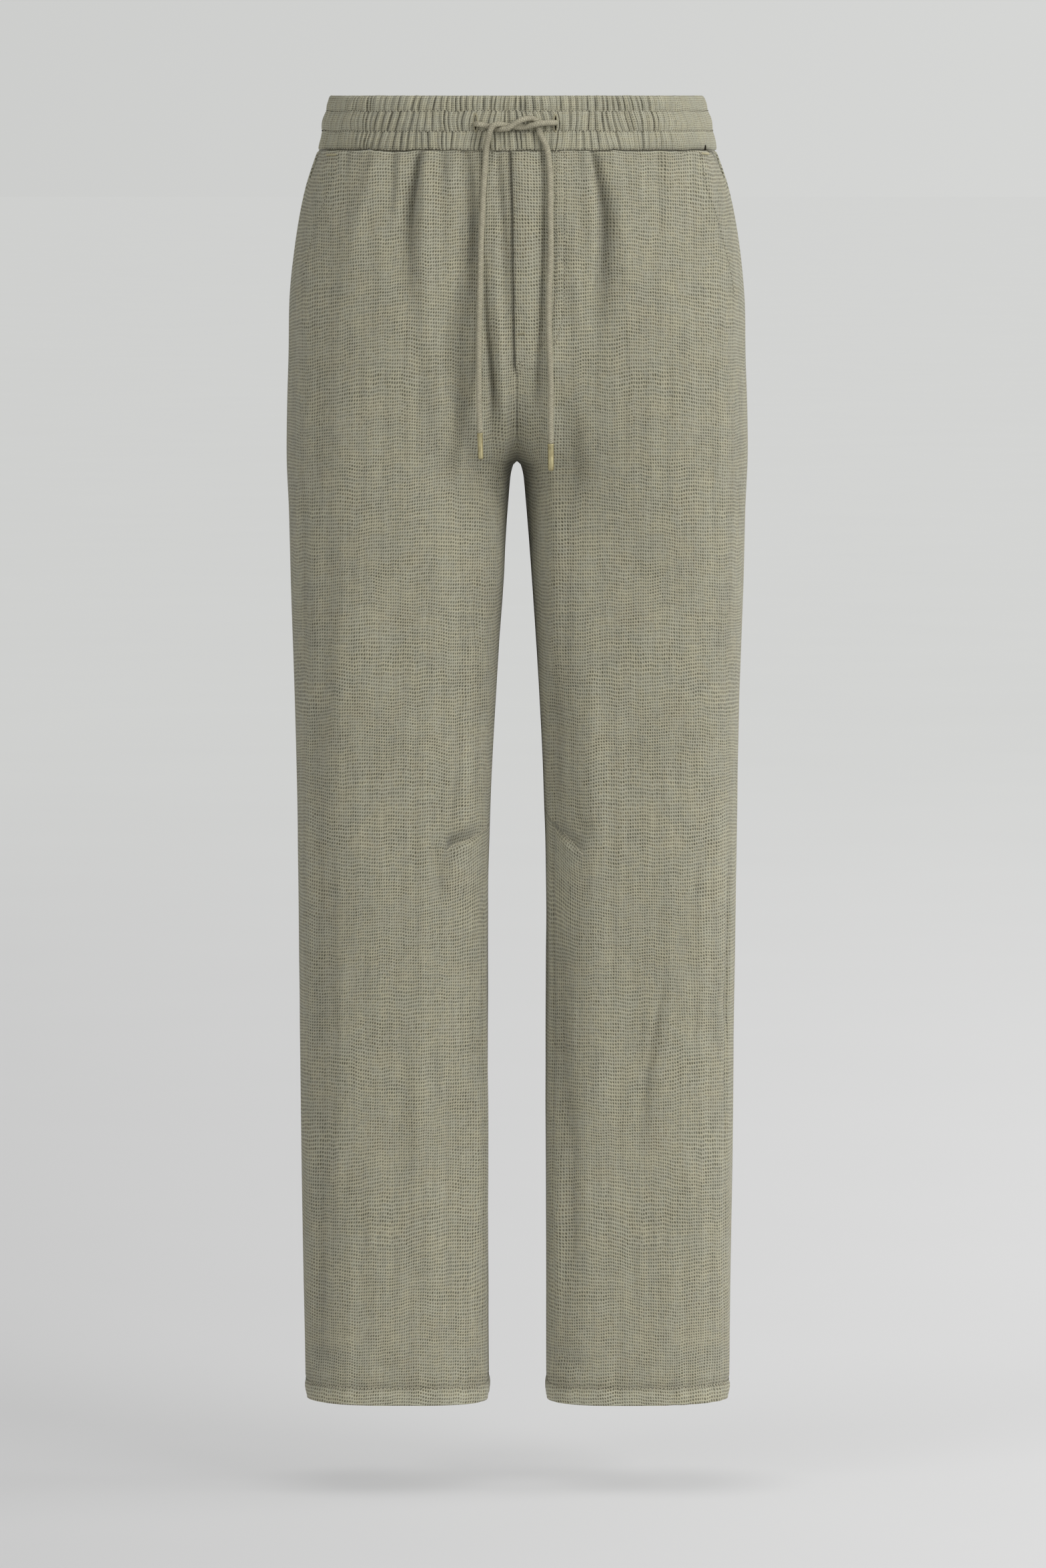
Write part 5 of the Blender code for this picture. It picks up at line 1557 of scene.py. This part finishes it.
def sew(name, paths, tree, material, **sizes):
    """Stitches along paths of points in millimetres, as one mesh."""
    curve = bpy.data.curves.new(name, "CURVE")
    curve.dimensions = "3D"
    for path in paths:
        line = curve.splines.new("POLY")
        line.points.add(len(path) - 1)
        line.points.foreach_set("co", np.column_stack([np.asarray(path) * MM, np.ones(len(path))]).ravel())
    guide = bpy.data.objects.new(name + "_path", curve)
    bpy.context.scene.collection.objects.link(guide)
    modifier = guide.modifiers.new("sewing", "NODES")
    modifier.node_group = tree
    sockets = {item.name: item.identifier for item in tree.interface.items_tree if item.in_out == "INPUT"}
    modifier[sockets["Finish"]] = material
    for size, value in sizes.items():
        modifier[sockets[size]] = value * MM
    graph = bpy.context.evaluated_depsgraph_get()
    mesh = bpy.data.meshes.new_from_object(guide.evaluated_get(graph))
    mesh.name = name
    bpy.data.objects.remove(guide)
    obj = bpy.data.objects.new(name, mesh)
    bpy.context.scene.collection.objects.link(obj)
    return obj


def on_panel(side, face, xs, zs, lift):
    """Points on a leg panel's surface at places seen from the front or the back."""
    xs, zs = np.asarray(xs, float), np.asarray(zs, float)
    way = way_at(side, face, xs, zs)
    sink = sewn_sink(side, face, xs, zs) - fly_rise(side, face, xs, zs) - lift
    if face < 0:
        sink = sink + dart_sink(side, xs, zs)
    return surface(side, face, way, zs, sink, (1.0, 1.0))


def sewn_line(corners, step=1.0):
    """Closely spaced x and z on a smooth line through a table of sewn points."""
    route = [Vector((p.x, 0.0, p.z)) for p in corners]
    line, _ = evenly([tuple(p) for p in smooth_curve(route)], step)
    return line[:, 0], line[:, 2]


def zigzag(path, width, step):
    """A satin thread's path to and fro across a line, in millimetres. step is how far on each crossing is."""
    line, _ = evenly(path, step)
    along = np.gradient(line, axis=0)
    along /= np.linalg.norm(along, axis=1, keepdims=True)
    across = np.cross(along, (0.0, 1.0, 0.0))
    across /= np.maximum(np.linalg.norm(across, axis=1, keepdims=True), 1e-6)
    sign = np.where(np.arange(len(line)) % 2, 0.5, -0.5)[:, None]
    return line + across * width * sign


def sew_holes(name, paths, tree, material):
    """The holes between the stitches of each path, as small dark beads of painted shade."""
    pitch = STITCH + STITCH_GAP
    shifted = [evenly(path, HOLE_PATH_STEP)[0][round(pitch / 2 / HOLE_PATH_STEP) :] for path in paths]
    return sew(name, shifted, tree, material, Stitch=HOLE_LENGTH, Gap=pitch - HOLE_LENGTH, Thread=HOLE_WIDTH)


def front_paths(lines, lift):
    """Paths on the fronts along lines of sewn points, each with its side."""
    return [on_panel(side, -1, *sewn_line(line), lift) for side, line in lines]


def hem_paths():
    """A row round each hem, in front and behind."""
    paths = []
    for side in (1, -1):
        for face in (-1, 1):
            way = np.linspace(0.01, float(section_at(HEM_Z + HEM_TURNING).end) - 0.01, 120)
            zs = np.full_like(way, HEM_Z + HEM_TURNING)
            base = surface(side, face, way, zs)
            sink = sewn_sink(side, face, base[:, 0], zs) - LIFT
            calm = ease(np.minimum(way, way[-1] - way) * 12)
            paths.append(surface(side, face, way, zs, sink, (calm, calm)))
    return paths


def band_paths(gathers):
    """The rows round the waistband."""
    around = np.arange(0, gathers.arc[-1], 1.0)
    at_sides = ease((np.abs(np.cos(np.interp(around, gathers.arc, gathers.turns))) - 0.95) / 0.03)
    lifts = [LIFT, LIFT, LIFT - LOW_ROW_SINK * at_sides]
    return [band_outside(around, z, gathers, lift)[0] for z, lift in zip(BAND_SEWN_ROWS, lifts)]


def on_band(gathers, middle, half_width, half_height, count):
    """An upright ring of points a little way out from the band, round its middle at x and z."""
    ring = []
    for angle in np.linspace(0, 2 * math.pi, count):
        x, z = middle[0] + half_width * math.cos(angle), middle[1] + half_height * math.sin(angle)
        turn = 2 * math.pi - math.acos(x / between(LEVELS, z, "outer"))
        distance = np.array([np.interp(turn, gathers.turns, gathers.arc)])
        near = band_outside(distance, float(z), gathers)[0][0]
        ring.append((x, near[1] - ON_BAND_LIFT, z))
    return np.array(ring)


def slit(name, gathers, middle, half_width, half_height, material):
    """The opening of a buttonhole or a pocket: a dark sheet of painted shade."""
    edge = on_band(gathers, middle, half_width, half_height, 40)[:-1]
    faces = [(len(edge), i, (i + 1) % len(edge)) for i in range(len(edge))]
    return add_mesh(name, np.concatenate([edge, [edge.mean(axis=0)]]), faces, material)


# Making


def belongs(obj, slot, *nodes):
    """Fastens a piece to the body, where it stands for its nodes."""
    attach(obj, "root")
    if nodes:
        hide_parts(*nodes)
    return obj


def make_cords(braid, brass):
    for word, vias, size in (("left", LEFT_CORD, LEFT_AGLET), ("right", RIGHT_CORD, RIGHT_AGLET)):
        obj, line, length = braided_cord(f"cord_{word}", vias, CORDS_IN_BAND[word], braid)
        belongs(obj, "cord", f"drawstring_{word}")
        tip = belongs(aglet(f"cord_end_{word}", size, line, brass), "brass", f"aglet_{word}")
        path = [tuple(p) for p in line[::CORD_PATH_STEP]] + [tuple(line[-1])]


def make_legs(cloth, facing_cloth):
    for side, word in ((1, "left"), (-1, "right")):
        nodes = ["front_panel_left", "fly_placket"] if side > 0 else ["front_panel_right"]
        front = belongs(leg_panel(f"front_{word}", side, -1, cloth), "cloth", *nodes)
        back = belongs(leg_panel(f"back_{word}", side, 1, cloth), "cloth", f"back_panel_{word}")
        facing = pocket_facing(f"pocket_{word}", side, facing_cloth)
        belongs(facing, "cloth", f"pocket_facing_{word}")


def make_sewing(gathers, thread, satin_thread, dark):
    rows = sewing_tree("stitch_rows", satin=False)
    satin = sewing_tree("satin_thread", satin=True)

    def stitch(name, paths):
        belongs(sew(f"{name}_stitches", paths, rows, thread), "thread")
        belongs(sew_holes(f"{name}_holes", paths, rows, dark), "thread")

    stitch("fly", front_paths([(1, line) for line in FLY_ROWS], LIFT))
    stitch("hem", hem_paths())
    darts = front_paths(((1, LEFT_DART[1:]), (-1, RIGHT_DART)), LIFT)
    sizes = {"Stitch": DART_STITCH, "Gap": DART_STITCH_GAP, "Thread": DART_THREAD}
    belongs(sew("dart_stitches", darts, rows, thread, **sizes), "thread")
    stitch("pocket", front_paths(((1, LEFT_POCKET_ROW), (-1, RIGHT_POCKET_ROW)), LIFT))
    stitch("band", band_paths(gathers))
    tacks = [zigzag(path, TACK_WIDTH, TACK_STEP) for path in front_paths(TACKS, TACK_LIFT)]
    belongs(sew("tack_stitches", tacks, satin, satin_thread, Thread=TACK_THREAD), "thread")
    for word, middle in BUTTONHOLES.items():
        ring = on_band(gathers, middle, WORKED_HALF_WIDTH, WORKED_HALF_HEIGHT, 80)
        worked = [zigzag(ring, WORKED_WIDTH, WORKED_STEP)]
        rim = sew(f"buttonhole_{word}_stitches", worked, satin, satin_thread, Thread=WORKED_THREAD)
        belongs(rim, "thread", f"buttonhole_{word}")
        opening = slit(f"slit_{word}", gathers, middle, SLIT_HALF_WIDTH, SLIT_HALF_HEIGHT, dark)
        belongs(opening, "thread")
    x, z, half_width, half_height = POCKET_NOTCH
    belongs(slit("pocket_notch", gathers, (x, z), half_width, half_height, dark), "thread")


def make():
    place_camera()
    light_the_room()
    cloth = waffle_material("waffle_cloth")
    # the pocket facing is painted darker than the legs' cloth, as painted shade inside the mouth
    facing_cloth = waffle_material("facing_cloth", 0.86, across_pitch=2.2)
    band_cloth = waffle_material("band_cloth", 1.12, cells=0.62, painted_shading=0.5, streaks=0.0)
    thread = thread_material("sewing_thread", SEWING_COLOUR)
    buttonhole_thread = thread_material("buttonhole_thread", BUTTONHOLE_COLOUR)
    make_cords(braid_material("cord_braid"), brass_material("cord_end_brass"))
    make_legs(cloth, facing_cloth)
    gathers = make_gathers()
    band = belongs(waistband("gathered_band", gathers, band_cloth), "cloth", "waistband")
    make_sewing(gathers, thread, buttonhole_thread, dark_material("slit_shade"))


make()
